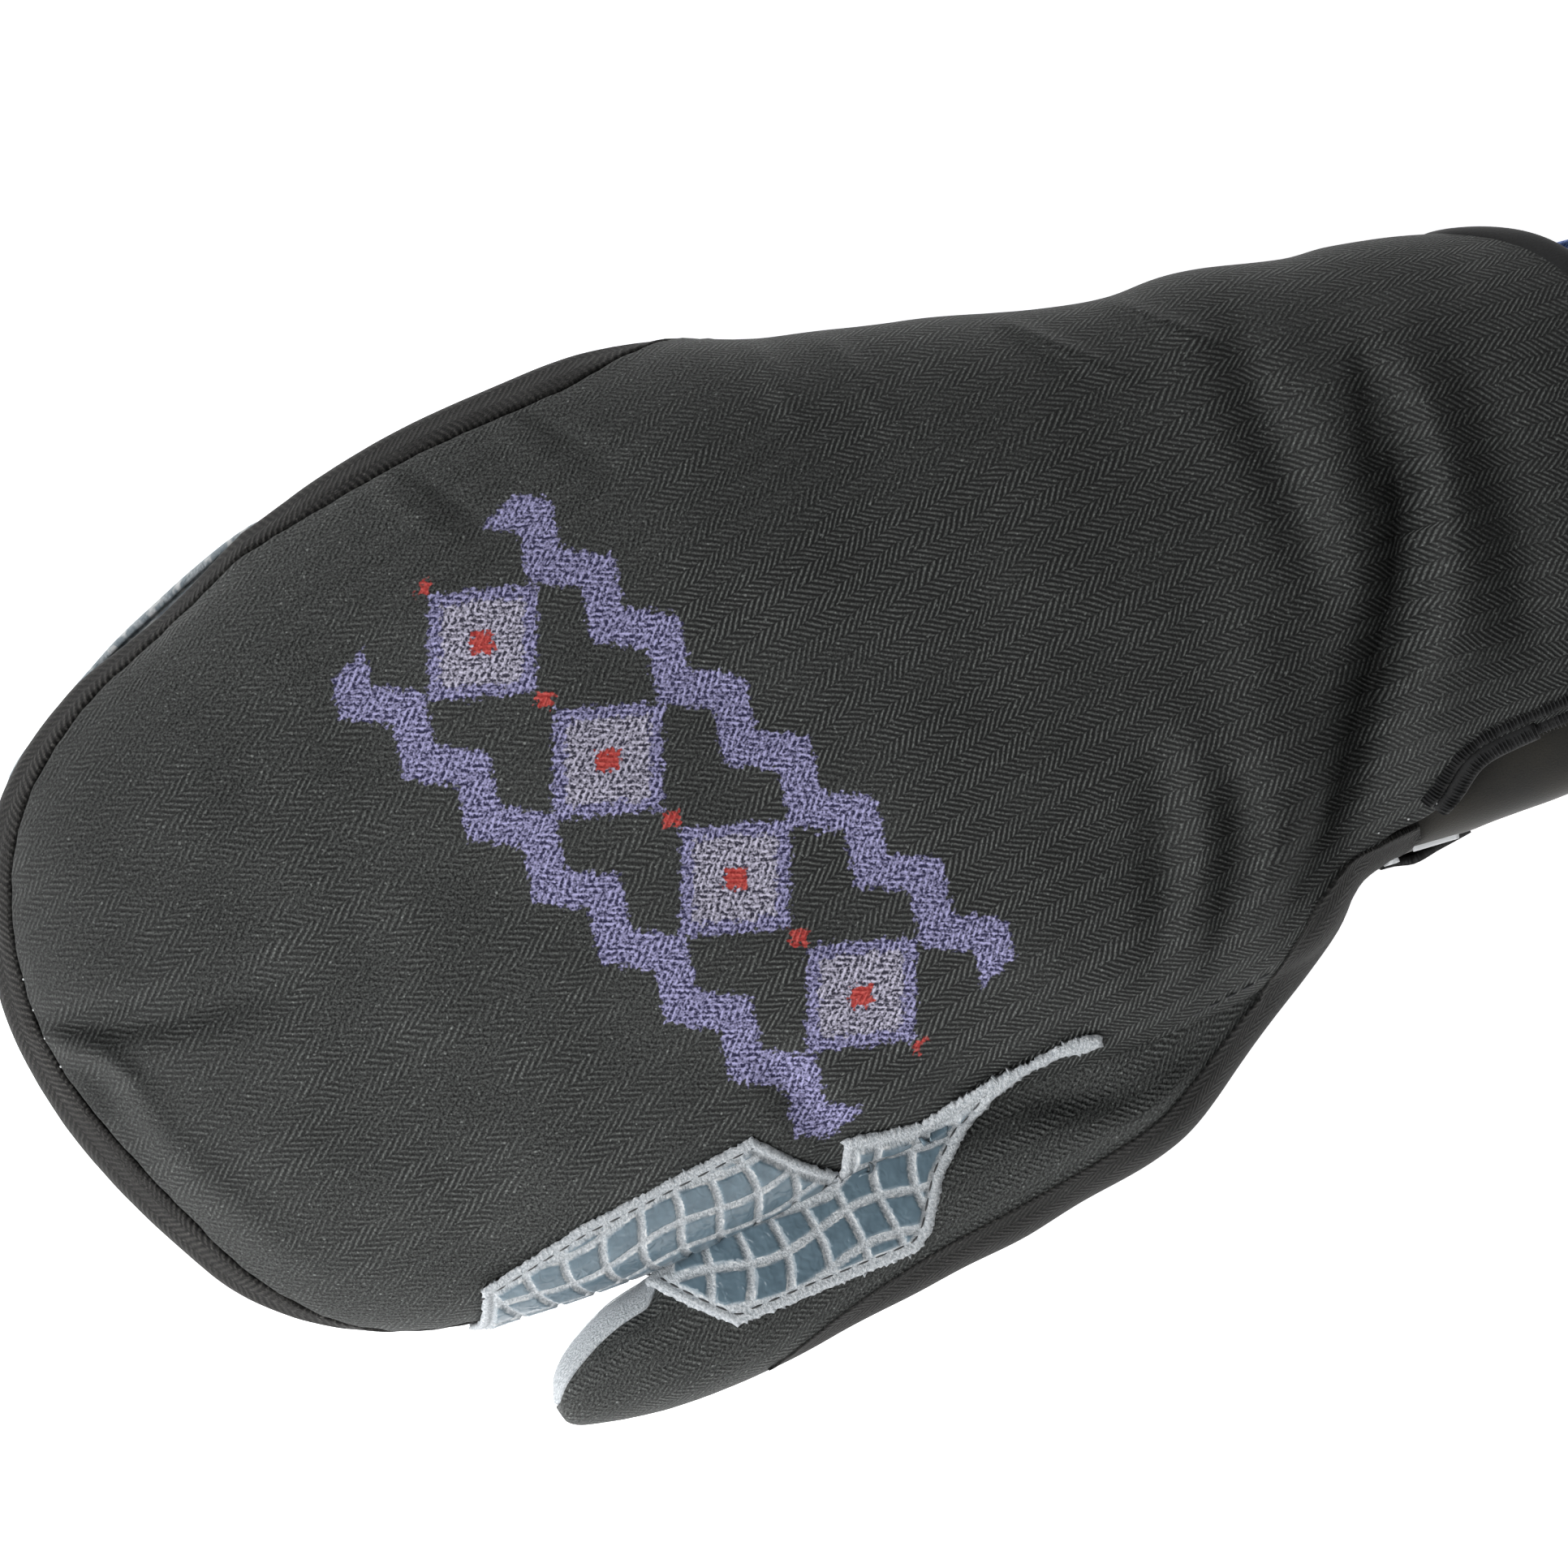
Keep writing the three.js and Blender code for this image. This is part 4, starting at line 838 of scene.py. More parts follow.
def twill_material(name, base, light, printed=False, slope=TWILL_SLOPE, columns=1.0, gloss=1.0,
                   clearness=(0.25, 0.85)):
    """Woven polyester twill: matt, with yarn strokes that catch the light and a soft pile edge. On the
    printed back, shade is painted in towards the cuff and the fingertips.
    """
    material, tree = start_material(name)
    cloth = node(tree, "ShaderNodeUVMap", uv_map="cloth")
    strokes = herringbone(tree, columns * sizes().column_width / MM, slope)
    fuzz = node(tree, NOISE, {"Vector": cloth, "Scale": 2.4, "Detail": 2.0, "Roughness": 0.7})
    place = node(tree, NOISE, {"Vector": cloth, "Scale": 0.07, "Detail": 3.0})
    fuzz_high = node(tree, RANGE, [fuzz, 0.4, 0.66, 0.0, 1.0])
    clear = node(tree, RANGE, [place, 0.38, 0.6, *clearness])
    if printed:
        split = node(tree, "ShaderNodeSeparateXYZ", [cloth]).node
        pressed = node(tree, RANGE, [split.outputs[0], 85.0, 150.0, -0.15, 0.5])
        brushed = node(tree, RANGE, [split.outputs[1], 16.0, 66.0, 0.0, 0.5],
                       interpolation_type="SMOOTHSTEP")
        clear = node(tree, MATH, [clear, pressed], operation="ADD")
        clear = node(tree, MATH, [clear, brushed], operation="SUBTRACT", use_clamp=True)
    beaded = node(tree, MATH, [fuzz_high, 1.5, 0.32], operation="MULTIPLY_ADD")
    beaded = node(tree, MATH, [strokes, beaded], operation="MULTIPLY")
    nap = node(tree, MATH, [fuzz_high, 0.75], operation="MULTIPLY")
    yarn = node(tree, MIX, {0: clear, 2: nap, 3: beaded}, data_type="FLOAT")
    lint = node(tree, NOISE, {"Vector": cloth, "Scale": 1.7, "Detail": 0.0})
    lint = node(tree, RANGE, [lint, 0.74, 0.82, 0.0, 1.1])
    yarn = node(tree, MATH, [yarn, lint], operation="ADD")
    if printed:
        # Painted shade: the cloth is painted darker from the knuckles to the cuff, where the flat back gets
        # less light, and towards the fingertips, which the key light brightens
        painted_shade_to_cuff = node(tree, RANGE, [split.outputs[0], 70.0, 200.0, 1.0, 0.66])
        tip = node(tree, RANGE, [split.outputs[0], -5.0, 45.0, 0.5, 1.0])
        yarn = node(tree, MATH, [yarn, painted_shade_to_cuff], operation="MULTIPLY")
        yarn = node(tree, MATH, [yarn, tip], operation="MULTIPLY")
    colour = node(tree, MIX, {0: yarn, 6: opaque(base), 7: opaque(light)}, 2, data_type="RGBA",
                  clamp_factor=False)
    if printed:
        colour = printed_colour(tree, cloth, strokes, colour)
    height = node(tree, MATH, [strokes, 0.8, fuzz], operation="MULTIPLY_ADD")
    bump = node(tree, "ShaderNodeBump", {"Strength": 0.7, "Distance": 0.00028, "Height": height})
    shader = node(tree, SHADER, {
        "Base Color": colour,
        "Roughness": 0.7,
        "Specular IOR Level": 0.35 * gloss,
        "Sheen Weight": 0.14 * gloss,
        "Sheen Roughness": 0.4,
        "Sheen Tint": opaque(light),
        "Normal": bump,
    })
    node(tree, "ShaderNodeOutputMaterial", {"Surface": shader})
    return material


def printed_colour(tree, cloth, strokes, ground):
    """A generic woven-look print: a slanting band of lozenges between two zigzags, with red centres."""
    jitter = node(tree, NOISE, {"Vector": cloth, "Scale": 1.1, "Detail": 1.0}, 1)
    jitter = node(tree, VECTOR, [jitter, (0.5, 0.5, 0.5)], operation="SUBTRACT")
    jitter = node(tree, VECTOR, {0: jitter, 3: 3.4}, operation="SCALE")
    ragged = node(tree, VECTOR, [cloth, jitter], operation="ADD")
    moved = node(tree, VECTOR, [ragged, PRINT["middle"]], operation="SUBTRACT")
    turned = node(tree, "ShaderNodeVectorRotate", {"Vector": moved, "Angle": math.radians(PRINT["degrees"])},
                  rotation_type="Z_AXIS")
    split = node(tree, "ShaderNodeSeparateXYZ", [turned]).node
    along, across = split.outputs[0], split.outputs[1]
    beside = node(tree, MATH, [across], operation="ABSOLUTE")
    reach = node(tree, MATH, [along], operation="ABSOLUTE")

    def shape(value, edge):
        """One where a value is below its edge, and zero above it."""
        return node(tree, RANGE, [value, edge - 0.25, edge + 0.25, 1.0, 0.0])

    zigzag = node(tree, MATH, [along, PRINT["zigzag_step"]], operation="PINGPONG")
    border = node(tree, MATH, [zigzag, PRINT["zigzag_slope"], PRINT["border_at"]], operation="MULTIPLY_ADD")
    border = node(tree, MATH, [beside, border], operation="SUBTRACT")
    border = node(tree, MATH, [border], operation="ABSOLUTE")
    zigzag_mask = shape(border, PRINT["border_half"])
    cell = node(tree, MATH, [along, PRINT["lozenge_step"]], operation="PINGPONG")
    away = node(tree, MATH, [PRINT["lozenge_step"], cell], operation="SUBTRACT")
    lozenge = node(tree, MATH, [beside, PRINT["lozenge_flat"], away], operation="MULTIPLY_ADD")
    outer = shape(lozenge, PRINT["lozenge_outer"])
    hole = shape(lozenge, PRINT["lozenge_hole"])
    heart = shape(lozenge, PRINT["lozenge_heart"])
    spark = node(tree, MATH, [beside, PRINT["lozenge_flat"], cell], operation="MULTIPLY_ADD")
    spark = shape(spark, PRINT["spark"])
    frame_mask = node(tree, MATH, [outer, hole], operation="SUBTRACT")
    inside = node(tree, MATH, [hole, heart], operation="SUBTRACT")
    dots = node(tree, MATH, [heart, spark], operation="MAXIMUM")
    violet = node(tree, MATH, [zigzag_mask, frame_mask], operation="MAXIMUM")
    length = shape(reach, PRINT["half_length"])
    shades = PRINT["colours"]
    heather = node(tree, NOISE, {"Vector": cloth, "Scale": 1.5, "Detail": 1.0, "Roughness": 0.8})
    heather = node(tree, RANGE, [heather, 0.4, 0.6, 0.0, 1.0])
    thread = node(tree, MIX, {0: 0.4, 2: heather, 3: strokes}, data_type="FLOAT")
    thread = node(tree, RANGE, [thread, 0.15, 0.85, 0.0, 1.0])
    inks = ((violet, "violet", "lavender"), (inside, "grey", "white"), (dots, "red", "pink"))
    for mask, dark, pale in inks:
        dark, pale = opaque(linear(shades[dark])), opaque(linear(shades[pale]))
        ink = node(tree, MIX, {0: thread, 6: dark, 7: pale}, 2, data_type="RGBA")
        part = node(tree, MATH, [mask, length], operation="MULTIPLY")
        ground = node(tree, MIX, {0: part, 6: ground, 7: ink}, 2, data_type="RGBA")
    return ground


# Place, sizes in millimetres and colours of the generic print on the back
PRINT = {
    "middle": (104.0, -6.0, 0.0),
    "degrees": 62.0,
    "half_length": 54.0,
    "zigzag_step": 7.0,
    "zigzag_slope": 0.7,
    "border_at": 15.5,
    "border_half": 3.6,
    "lozenge_step": 13.5,
    "lozenge_flat": 0.92,
    "lozenge_outer": 11.6,
    "lozenge_hole": 8.8,
    "lozenge_heart": 2.3,
    "spark": 1.6,
    "colours": {
        "violet": "232247",
        "lavender": "b0add8",
        "grey": "2c2a3c",
        "white": "cfcbe0",
        "red": "a02b28",
        "pink": "c8554e",
    },
}


def grip_material(name, shade, light, blocks_from_map=False, bare_above=None):
    """Brushed synthetic suede with moulded silicone blocks: matt pale nap, glossy blocks with painted glints
    at their edges.
    """
    material, tree = start_material(name)
    cloth = node(tree, "ShaderNodeUVMap", uv_map="cloth")
    if blocks_from_map:
        block = grid_blocks(tree, cloth, bare_above)
    else:
        block = node(tree, "ShaderNodeAttribute", attribute_name="block", output=2)
    nap = node(tree, NOISE, {"Vector": cloth, "Scale": 2.2, "Detail": 3.0, "Roughness": 0.75})
    nap = node(tree, RANGE, [nap, 0.32, 0.66, 0.0, 1.0])
    smear = node(tree, NOISE, {"Vector": cloth, "Scale": 0.35, "Detail": 2.0})
    suede = node(tree, MIX, {0: nap, 6: opaque(shade), 7: opaque(light)}, 2, data_type="RGBA")
    rubber = node(tree, MIX, {
        0: smear, 6: opaque(colours().block_shade), 7: opaque(colours().block)}, 2, data_type="RGBA")
    colour = node(tree, MIX, {0: block, 6: suede, 7: rubber}, 2, data_type="RGBA")
    # Painted highlights: pale glints are painted into the colour in patches at the blocks' edges, for the
    # lamps' reflections on the glossy rubber
    painted_glint = node(tree, RANGE, [block, 0.55, 0.9, 1.0, 0.0])
    glint_patches = node(tree, NOISE, {"Vector": cloth, "Scale": 0.45, "Detail": 2.0})
    glint_patches = node(tree, RANGE, [glint_patches, 0.48, 0.58, 0.0, 0.9])
    edge = node(tree, RANGE, [block, 0.1, 0.45, 0.0, 1.0])
    painted_glint = node(tree, MATH, [painted_glint, edge], operation="MULTIPLY")
    painted_glint = node(tree, MATH, [painted_glint, glint_patches], operation="MULTIPLY")
    colour = node(tree, MIX, {0: painted_glint, 6: colour, 7: opaque(colours().pale_thread)}, 2, data_type="RGBA")
    roughness = node(tree, RANGE, [block, 0.0, 1.0, 0.93, 0.16])
    nap_height = node(tree, MATH, [1.0, block], operation="SUBTRACT")
    nap_height = node(tree, MATH, [nap_height, nap], operation="MULTIPLY")
    skin = node(tree, NOISE, {"Vector": cloth, "Scale": 0.6, "Detail": 1.0, "Distortion": 0.6})
    skin = node(tree, MATH, [skin, block], operation="MULTIPLY")
    height = node(tree, MATH, [skin, 1.1, nap_height], operation="MULTIPLY_ADD")
    if blocks_from_map:
        height = node(tree, MATH, [block, 1.6, height], operation="MULTIPLY_ADD")
    bump = node(tree, "ShaderNodeBump", {"Strength": 0.6, "Distance": 0.0004, "Height": height})
    shader = node(tree, SHADER, {
        "Base Color": colour,
        "Roughness": roughness,
        "Sheen Weight": 0.12,
        "Sheen Roughness": 0.5,
        "Normal": bump,
    })
    node(tree, "ShaderNodeOutputMaterial", {"Surface": shader})
    return material


def grid_blocks(tree, cloth, bare_above):
    """A slightly warped grid of blocks, 0 on lines and bare parts. The palm's blocks are fainter."""
    wander = node(tree, NOISE, {"Vector": cloth, "Scale": 0.05, "Detail": 1.0}, 1)
    bent = node(tree, VECTOR, {0: wander, 3: 9.0}, operation="SCALE")
    bent = node(tree, VECTOR, [cloth, bent], operation="ADD")
    split = node(tree, "ShaderNodeSeparateXYZ", [bent]).node
    edges = []
    for axis in (0, 1):
        cell = node(tree, MATH, [split.outputs[axis], GRIP["cell"] / 2], operation="PINGPONG")
        half_line = GRIP["line"] / 2
        edges.append(node(tree, RANGE, [cell, half_line - 0.15, half_line + 0.2, 0.0, 1.0]))
    blocks = node(tree, MATH, edges, operation="MULTIPLY")
    if bare_above is None:
        return node(tree, MATH, [blocks, GRIP["palm_block"]], operation="MULTIPLY")
    across = node(tree, "ShaderNodeSeparateXYZ", [cloth], 1)
    moulded = node(tree, MATH, [across, bare_above], operation="LESS_THAN")
    return node(tree, MATH, [blocks, moulded], operation="MULTIPLY")


def fine_cloth_material(name, base, light, sheen):
    """Warp-knitted tricot: a fine smooth face with a dusty sheen. Its loops are drawn as fine noise."""
    material, tree = start_material(name)
    cloth = node(tree, "ShaderNodeUVMap", uv_map="cloth")
    loops = node(tree, NOISE, {"Vector": cloth, "Scale": 3.0, "Detail": 1.0})
    dust = node(tree, NOISE, {"Vector": cloth, "Scale": 0.08, "Detail": 3.0})
    blend = node(tree, MATH, [loops, 0.5, dust], operation="MULTIPLY_ADD")
    blend = node(tree, RANGE, [blend, 0.5, 1.0, 0.0, 1.0])
    colour = node(tree, MIX, {0: blend, 6: opaque(base), 7: opaque(light)}, 2, data_type="RGBA")
    bump = node(tree, "ShaderNodeBump", {"Strength": 0.35, "Distance": 0.00015, "Height": loops})
    shader = node(tree, SHADER, {
        "Base Color": colour,
        "Roughness": 0.9,
        "Sheen Weight": sheen,
        "Sheen Roughness": 0.4,
        "Normal": bump,
    })
    node(tree, "ShaderNodeOutputMaterial", {"Surface": shader})
    return material


def webbing_material(name, base, light):
    """Flat woven polyester webbing: rows of small slanted ribs with a slight lustre."""
    material, tree = start_material(name)
    cloth = node(tree, "ShaderNodeUVMap", uv_map="cloth")
    split = node(tree, "ShaderNodeSeparateXYZ", [cloth]).node
    lean = node(tree, MATH, [split.outputs[1], 0.9], operation="PINGPONG")
    phase = node(tree, MATH, [lean, 0.8, split.outputs[0]], operation="MULTIPLY_ADD")
    phase = node(tree, MATH, [phase, 2 * math.pi / 0.8], operation="MULTIPLY")
    weave = node(tree, MATH, [phase], operation="SINE")
    weave = node(tree, MATH, [weave, 0.5, 0.5], operation="MULTIPLY_ADD")
    colour = node(tree, MIX, {0: weave, 6: opaque(base), 7: opaque(light)}, 2, data_type="RGBA")
    bump = node(tree, "ShaderNodeBump", {"Strength": 0.6, "Distance": 0.0003, "Height": weave})
    shader = node(tree, SHADER, {
        "Base Color": colour,
        "Roughness": 0.62,
        "Normal": bump,
    })
    node(tree, "ShaderNodeOutputMaterial", {"Surface": shader})
    return material


def thread_material(name, colour):
    """Spun polyester sewing thread: slightly glossy and twisted too finely to show."""
    material, tree = start_material(name)
    here = node(tree, "ShaderNodeTexCoord", output=3)
    twist = node(tree, NOISE, {"Vector": here, "Scale": 2500.0, "Detail": 1.0})
    bump = node(tree, "ShaderNodeBump", {"Strength": 0.4, "Distance": 0.0001, "Height": twist})
    shader = node(tree, SHADER, {
        "Base Color": opaque(colour),
        "Roughness": 0.55,
        "Normal": bump,
    })
    node(tree, "ShaderNodeOutputMaterial", {"Surface": shader})
    return material


# The finishes. Columns: what makes it, the names of its colours, its settings
FINISHES = {
    "printed_twill": (twill_material, ["twill", "twill_light"], {"printed": True}),
    "plain_twill": (twill_material, ["twill", "twill_light"], {"clearness": (0.0, 0.5)}),
    # Painted shade: the side band's and the heel panel's yarns are darker than the back's, for the shade on
    # these steep sides
    "side_twill": (twill_material, ["side_twill", "side_twill_light"],
                   {"slope": 0.4, "columns": 2.0, "gloss": 0.4}),
    "heel_twill": (twill_material, ["twill", "side_twill_light"], {"gloss": 0.6, "clearness": (0.0, 0.5)}),
    "grip_suede": (grip_material, ["suede_shade", "suede"], {}),
    "palm_suede": (grip_material, ["palm_suede_shade", "palm_suede"], {"blocks_from_map": True}),
    "thumb_suede": (grip_material, ["suede_shade", "suede"], {"blocks_from_map": True, "bare_above": -9.0}),
    "cuff_tricot": (fine_cloth_material, ["tricot", "tricot_light"], {"sheen": 0.25}),
    "knit_binding": (fine_cloth_material, ["binding", "binding_light"], {"sheen": 0.12}),
    "black_webbing": (webbing_material, ["webbing", "binding_light"], {}),
    "blue_webbing": (webbing_material, ["loop", "loop_light"], {}),
    "dark_thread": (thread_material, ["dark_thread"], {}),
    "pale_thread": (thread_material, ["pale_thread"], {}),
    "pale_bar": (fine_cloth_material, ["suede", "pale_thread"], {"sheen": 0.05}),
}
MATERIALS = {}


def material(name):
    """Gives a finish of the mitten, and makes it the first time."""
    if name not in MATERIALS:
        make, colour_names, settings = FINISHES[name]
        MATERIALS[name] = make(name, *(getattr(colours(), colour) for colour in colour_names), **settings)
    return MATERIALS[name]


def cloth_map(rays_spine, points, run):
    """Lays the cloth flat: the length from the crown, in each point's own direction from the spine."""
    direction = points[..., :2] - rays_spine
    length = np.linalg.norm(direction, axis=-1, keepdims=True)
    return rays_spine + direction / np.maximum(length, 1e-6) * run[..., None]


def dress(points, course, from_start, from_end, roll, ripples=1.0, gather=1.0):
    """Adds the fine folds, the padding's undulation and the rounded seam edges to a grid."""
    normals = grid_normals(points)
    ends_at_crown = not np.any(roll[1])
    if ends_at_crown:
        normals[:, -1] = (0.0, 0.0, 1.0)
    x, y = points[..., 0], points[..., 1]
    facing_up = np.clip(normals[..., 2] * 2, 0, 1)
    from_seam = from_start if ends_at_crown else np.minimum(from_start, from_end)
    calm = np.clip(from_seam / 4, 0.25, 1)
    creases = fold_height(x, y, CREASES_ACROSS, CREASES_ALONG) * facing_up * calm
    rise = ripple_height(x, y) * ripples * calm
    for distance, radius in ((from_start, roll[0]), (from_end, roll[1])):
        if np.any(radius):
            rise = rise + seam_roll(distance, radius) + pucker(course, distance) * gather
    return points + normals * rise[..., None] + creases[..., None] * (0.0, 0.0, 1.0)


def outline_courses(little_from, index_to, spacing):
    """The mitten's outline as three courses of rays: little finger side, fingertips, index side."""
    return [
        ("little_finger", spaced(little_from, TIP_X, spacing)[:-1]),
        ("tip", spaced(90, 270, math.degrees(spacing / TIP_RADII[0, 1]))),
        ("index", spaced(TIP_X, index_to, spacing)[1:]),
    ]


def course_rays(side, course):
    return tip_rays(course) if side == "tip" else side_rays(course, side)


def back_start(side, course):
    """The angle where the back panel begins: its seam with the band, the thumb's crease or the vent."""
    if side != "index":
        return band_seam_angle(course, side)
    start = band_seam_angle(course, side)
    x = course
    for _ in range(4):
        y = column(BACK_INDEX_EDGE, x)
        edge_angle = angle_above(x, y)
        x = rim_x(course, y, edge_angle)
    crease = passage(course, "back's edge to the thumb's crease")
    goes_under = passage(course, "back goes under the heel panel")
    comes_out = passage(course, "back comes out from the heel panel")
    under_heel = 0.036 * goes_under * (1 - comes_out)
    return np.where(course < 150, start, start * (1 - crease) + edge_angle * crease) - under_heel


def length_property(name, description, default, low, high):
    """A length for the sidebar, in metres."""
    return bpy.props.FloatProperty(
        name=name, description=description, default=default, min=low, max=high, unit="LENGTH",
        subtype="DISTANCE")


def colour_property(name, description, default):
    """A colour for the sidebar, from its sRGB hex value."""
    return bpy.props.FloatVectorProperty(
        name=name, description=description, default=linear(default), subtype="COLOR")


def power_property(name, description, default):
    """A lamp's power for the sidebar, in watts."""
    return bpy.props.FloatProperty(name=name, description=description, default=default, min=0, unit="POWER")


class MittenSizes(bpy.types.PropertyGroup):
    """Sizes of the cloth and the sewing."""

    column_width: length_property(
        "Herringbone column", "Width of one column of the twill", 0.0026, low=0.0005, high=0.01)
    stroke_pitch: length_property(
        "Herringbone stroke", "Distance between two strokes of the twill", 0.00124, low=0.0003, high=0.005)
    stitch_pitch: length_property(
        "Stitch pitch", "Distance between two stitches of a seam", 0.003, low=0.001, high=0.01)
    stitch_length: length_property(
        "Stitch length", "Length of one visible stitch", 0.0022, low=0.0005, high=0.01)
    thread_width: length_property(
        "Thread width", "Thickness of the sewing thread", 0.00042, low=0.0001, high=0.002)
    rib_pitch: length_property(
        "Rib pitch", "Distance between two ribs of the knitted binding", 0.00062, low=0.0004, high=0.005)


class MittenColours(bpy.types.PropertyGroup):
    """Colours of the cloth, the grips and the trim."""

    twill: colour_property("Twill", "Ground of the twill", "0b0c0c")
    twill_light: colour_property("Twill strokes", "Raised yarns of the twill", "616462")
    # Painted shade: the side twill is darker than the back's, for the shade on the steep side band and,
    # through its yarns, on the heel panel
    side_twill: colour_property("Side twill", "Ground of the side band's twill", "050505")
    side_twill_light: colour_property("Side twill yarns", "Raised yarns of the side band", "3a3937")
    suede: colour_property("Suede", "Nap of the suede", "e2e5e8")
    suede_shade: colour_property("Suede shade", "Deep places of the suede's nap", "8d969d")
    palm_suede: colour_property("Palm suede", "Nap of the palm's suede", "c6cdd2")
    palm_suede_shade: colour_property("Palm suede shade", "Deep places of the palm's nap", "8a949b")
    block: colour_property("Grip block", "Moulded blocks on the suede", "6b808c")
    block_shade: colour_property("Grip block shade", "Darker places of the blocks", "465965")
    tricot: colour_property("Cuff tricot", "Ground of the undercuff", "0e0e0c")
    tricot_light: colour_property("Cuff tricot light", "Dusty places of the undercuff", "25221a")
    binding: colour_property("Binding", "Ground of the knitted binding", "0a0a0b")
    binding_light: colour_property("Binding yarns", "Raised yarns of the binding", "232425")
    webbing: colour_property("Strap", "Webbing of the wrist strap", "1c1c1c")
    loop: colour_property("Pull loop", "Ground of the loop's webbing", "28468a")
    loop_light: colour_property("Pull loop yarns", "Raised yarns of the loop's webbing", "5f84c8")
    dark_thread: colour_property("Dark thread", "Thread of the seams", "3a3b3d")
    # Also the colour of the painted glints on the grip blocks
    pale_thread: colour_property("Pale thread", "Ends of the lining's thread", "d5d7d8")


class MittenStage(bpy.types.PropertyGroup):
    """The floor, the lights and the camera."""

    floor: colour_property("Floor", "Colour of the floor", "f6f6f6")
    floor_glow: bpy.props.FloatProperty(
        name="Floor glow", description="Light that comes through the white table", default=0.95, min=0)
    sky: bpy.props.FloatProperty(
        name="Sky", description="Strength of the even light from all round", default=0.13, min=0)
    key_power: power_property("Key light", "Power of the large soft light", 7.4)
    fill_power: power_property("Fill light", "Power of the light from the thumb's side", 9.0)
    back_power: power_property("Back light", "Power of the light from behind", 7.0)
    camera_distance: length_property(
        "Camera distance", "From the camera to the mitten's widest line", 1.1, low=0.3, high=5)


class MITTEN_OT_back_panel(bpy.types.Operator):
    """Makes the padded back of the hand and its cuff"""

    bl_idname = "mitten.back_panel"
    bl_label = "Back panel"

    def execute(self, context):
        parts = []
        for side, course in outline_courses(RIM_NOMINAL_X, RIM_NOMINAL_X, SPACING["back"]):
            start = back_start(side, course)
            under_heel = passage(course, "back lies calm by the heel panel") * (side == "index")
            gather = 1 - 0.9 * under_heel
            roll = 1.1 - 0.8 * under_heel * (1 - passage(course, "back's edge is round again"))

            def surface(angles, side=side, course=course):
                if side == "tip":
                    return hand_surface(tip_rays(course))(angles)
                return back_side(course, angles, side)

            end = np.full_like(start, math.pi / 2)
            points, run, total = even_rows(surface, start, end, ROW_COUNT["back"])
            laid = run_lengths(unfolded(points, course_rays(side, course)))
            spine = np.broadcast_to(course_rays(side, course).spine[:, None, :], (*run.shape, 2)).copy()
            if side != "tip":
                spine[..., 0] = points[..., 0]
            maps = cloth_map(spine, points, laid[:, -1:] - laid)
            parts.append((points, run, total - run, maps, gather[:, None], roll[:, None]))
        points, run, left, maps, gather, roll = (np.concatenate(part) for part in zip(*parts))
        seam = path_run(points[:, 0])
        points = dress(points, seam[:, None], run, left, (roll, 0.0), gather=gather)
        piece = grid_piece("back_panel_twill", points, maps, bend=True)
        give_wall(piece, WALL["back"])
        finish_piece(piece, material("printed_twill"), ["back_panel"])
        return {"FINISHED"}


class MITTEN_OT_side_band(bpy.types.Operator):
    """Makes the narrow band round the side of the fingers"""

    bl_idname = "mitten.side_band"
    bl_label = "Side band"

    def execute(self, context):
        parts = []
        for side, course in outline_courses(149.0, 84.5, SPACING["band"]):
            rays = course_rays(side, course)
            start, end = palm_seam_angle(rays), band_seam_angle(course, side)
            surface = hand_surface(rays)
            points, run, total = even_rows(surface, start, end, ROW_COUNT["band"], seams=(True, True))
            parts.append((points, run, total + 0 * run))
        points, run, total = (np.concatenate(part) for part in zip(*parts))
        seam = path_run(points[:, 0])[:, None]
        welt = np.exp(-((run / total - 0.74) / 0.045) ** 2) * np.minimum(total / 8, 1)
        normals = grid_normals(points)
        dressed = dress(points, seam, run, total - run, (0.9, 0.7), ripples=0.3, gather=0.7)
        dressed = dressed - normals * (0.7 * welt)[..., None]
        piece = grid_piece("side_band_twill", dressed, np.stack([seam + 0 * run, run], -1))
        give_wall(piece, WALL["band"])
        finish_piece(piece, material("side_twill"), ["side_band"])
        return {"FINISHED"}


class MITTEN_OT_palm_panel(bpy.types.Operator):
    """Makes the suede palm that the mitten lies on"""

    bl_idname = "mitten.palm_panel"
    bl_label = "Palm panel"

    def execute(self, context):
        grids, maps = [], []
        for side, course in outline_courses(CUFF_JOIN_X, CUFF_JOIN_X, SPACING["palm"]):
            rays = course_rays(side, course)
            start = palm_seam_angle(rays, PALM_SEAM_HEIGHT - GAP)
            surface = hand_surface(rays, grow=-0.05)
            end = np.full_like(start, -math.pi / 2)
            points, run, total = even_rows(surface, start, end, ROW_COUNT["palm"])
            peek = np.maximum(column(PALM_PEEK, degrees_round(side, course)), 0)
            reach = unit(rays.edge - rays.spine)
            push = peek[:, None] * np.exp(-((run - 2.5) / 3.5) ** 2)
            points[..., :2] += reach[:, None, :] * push[..., None]
            spine = np.broadcast_to(rays.spine[:, None, :], (*run.shape, 2))
            maps.append(cloth_map(spine, points, total - run))
            normals = grid_normals(points, -1)
            grids.append(points + normals * np.minimum(seam_roll(run, 0.8), 0)[..., None])
        points = np.concatenate(grids)
        points[..., 2] = np.maximum(points[..., 2], 0.0)
        piece = grid_piece("palm_panel_suede", points, np.concatenate(maps), outwards=-1)
        give_wall(piece, WALL["palm"])
        finish_piece(piece, material("palm_suede"), ["palm_panel"])
        return {"FINISHED"}


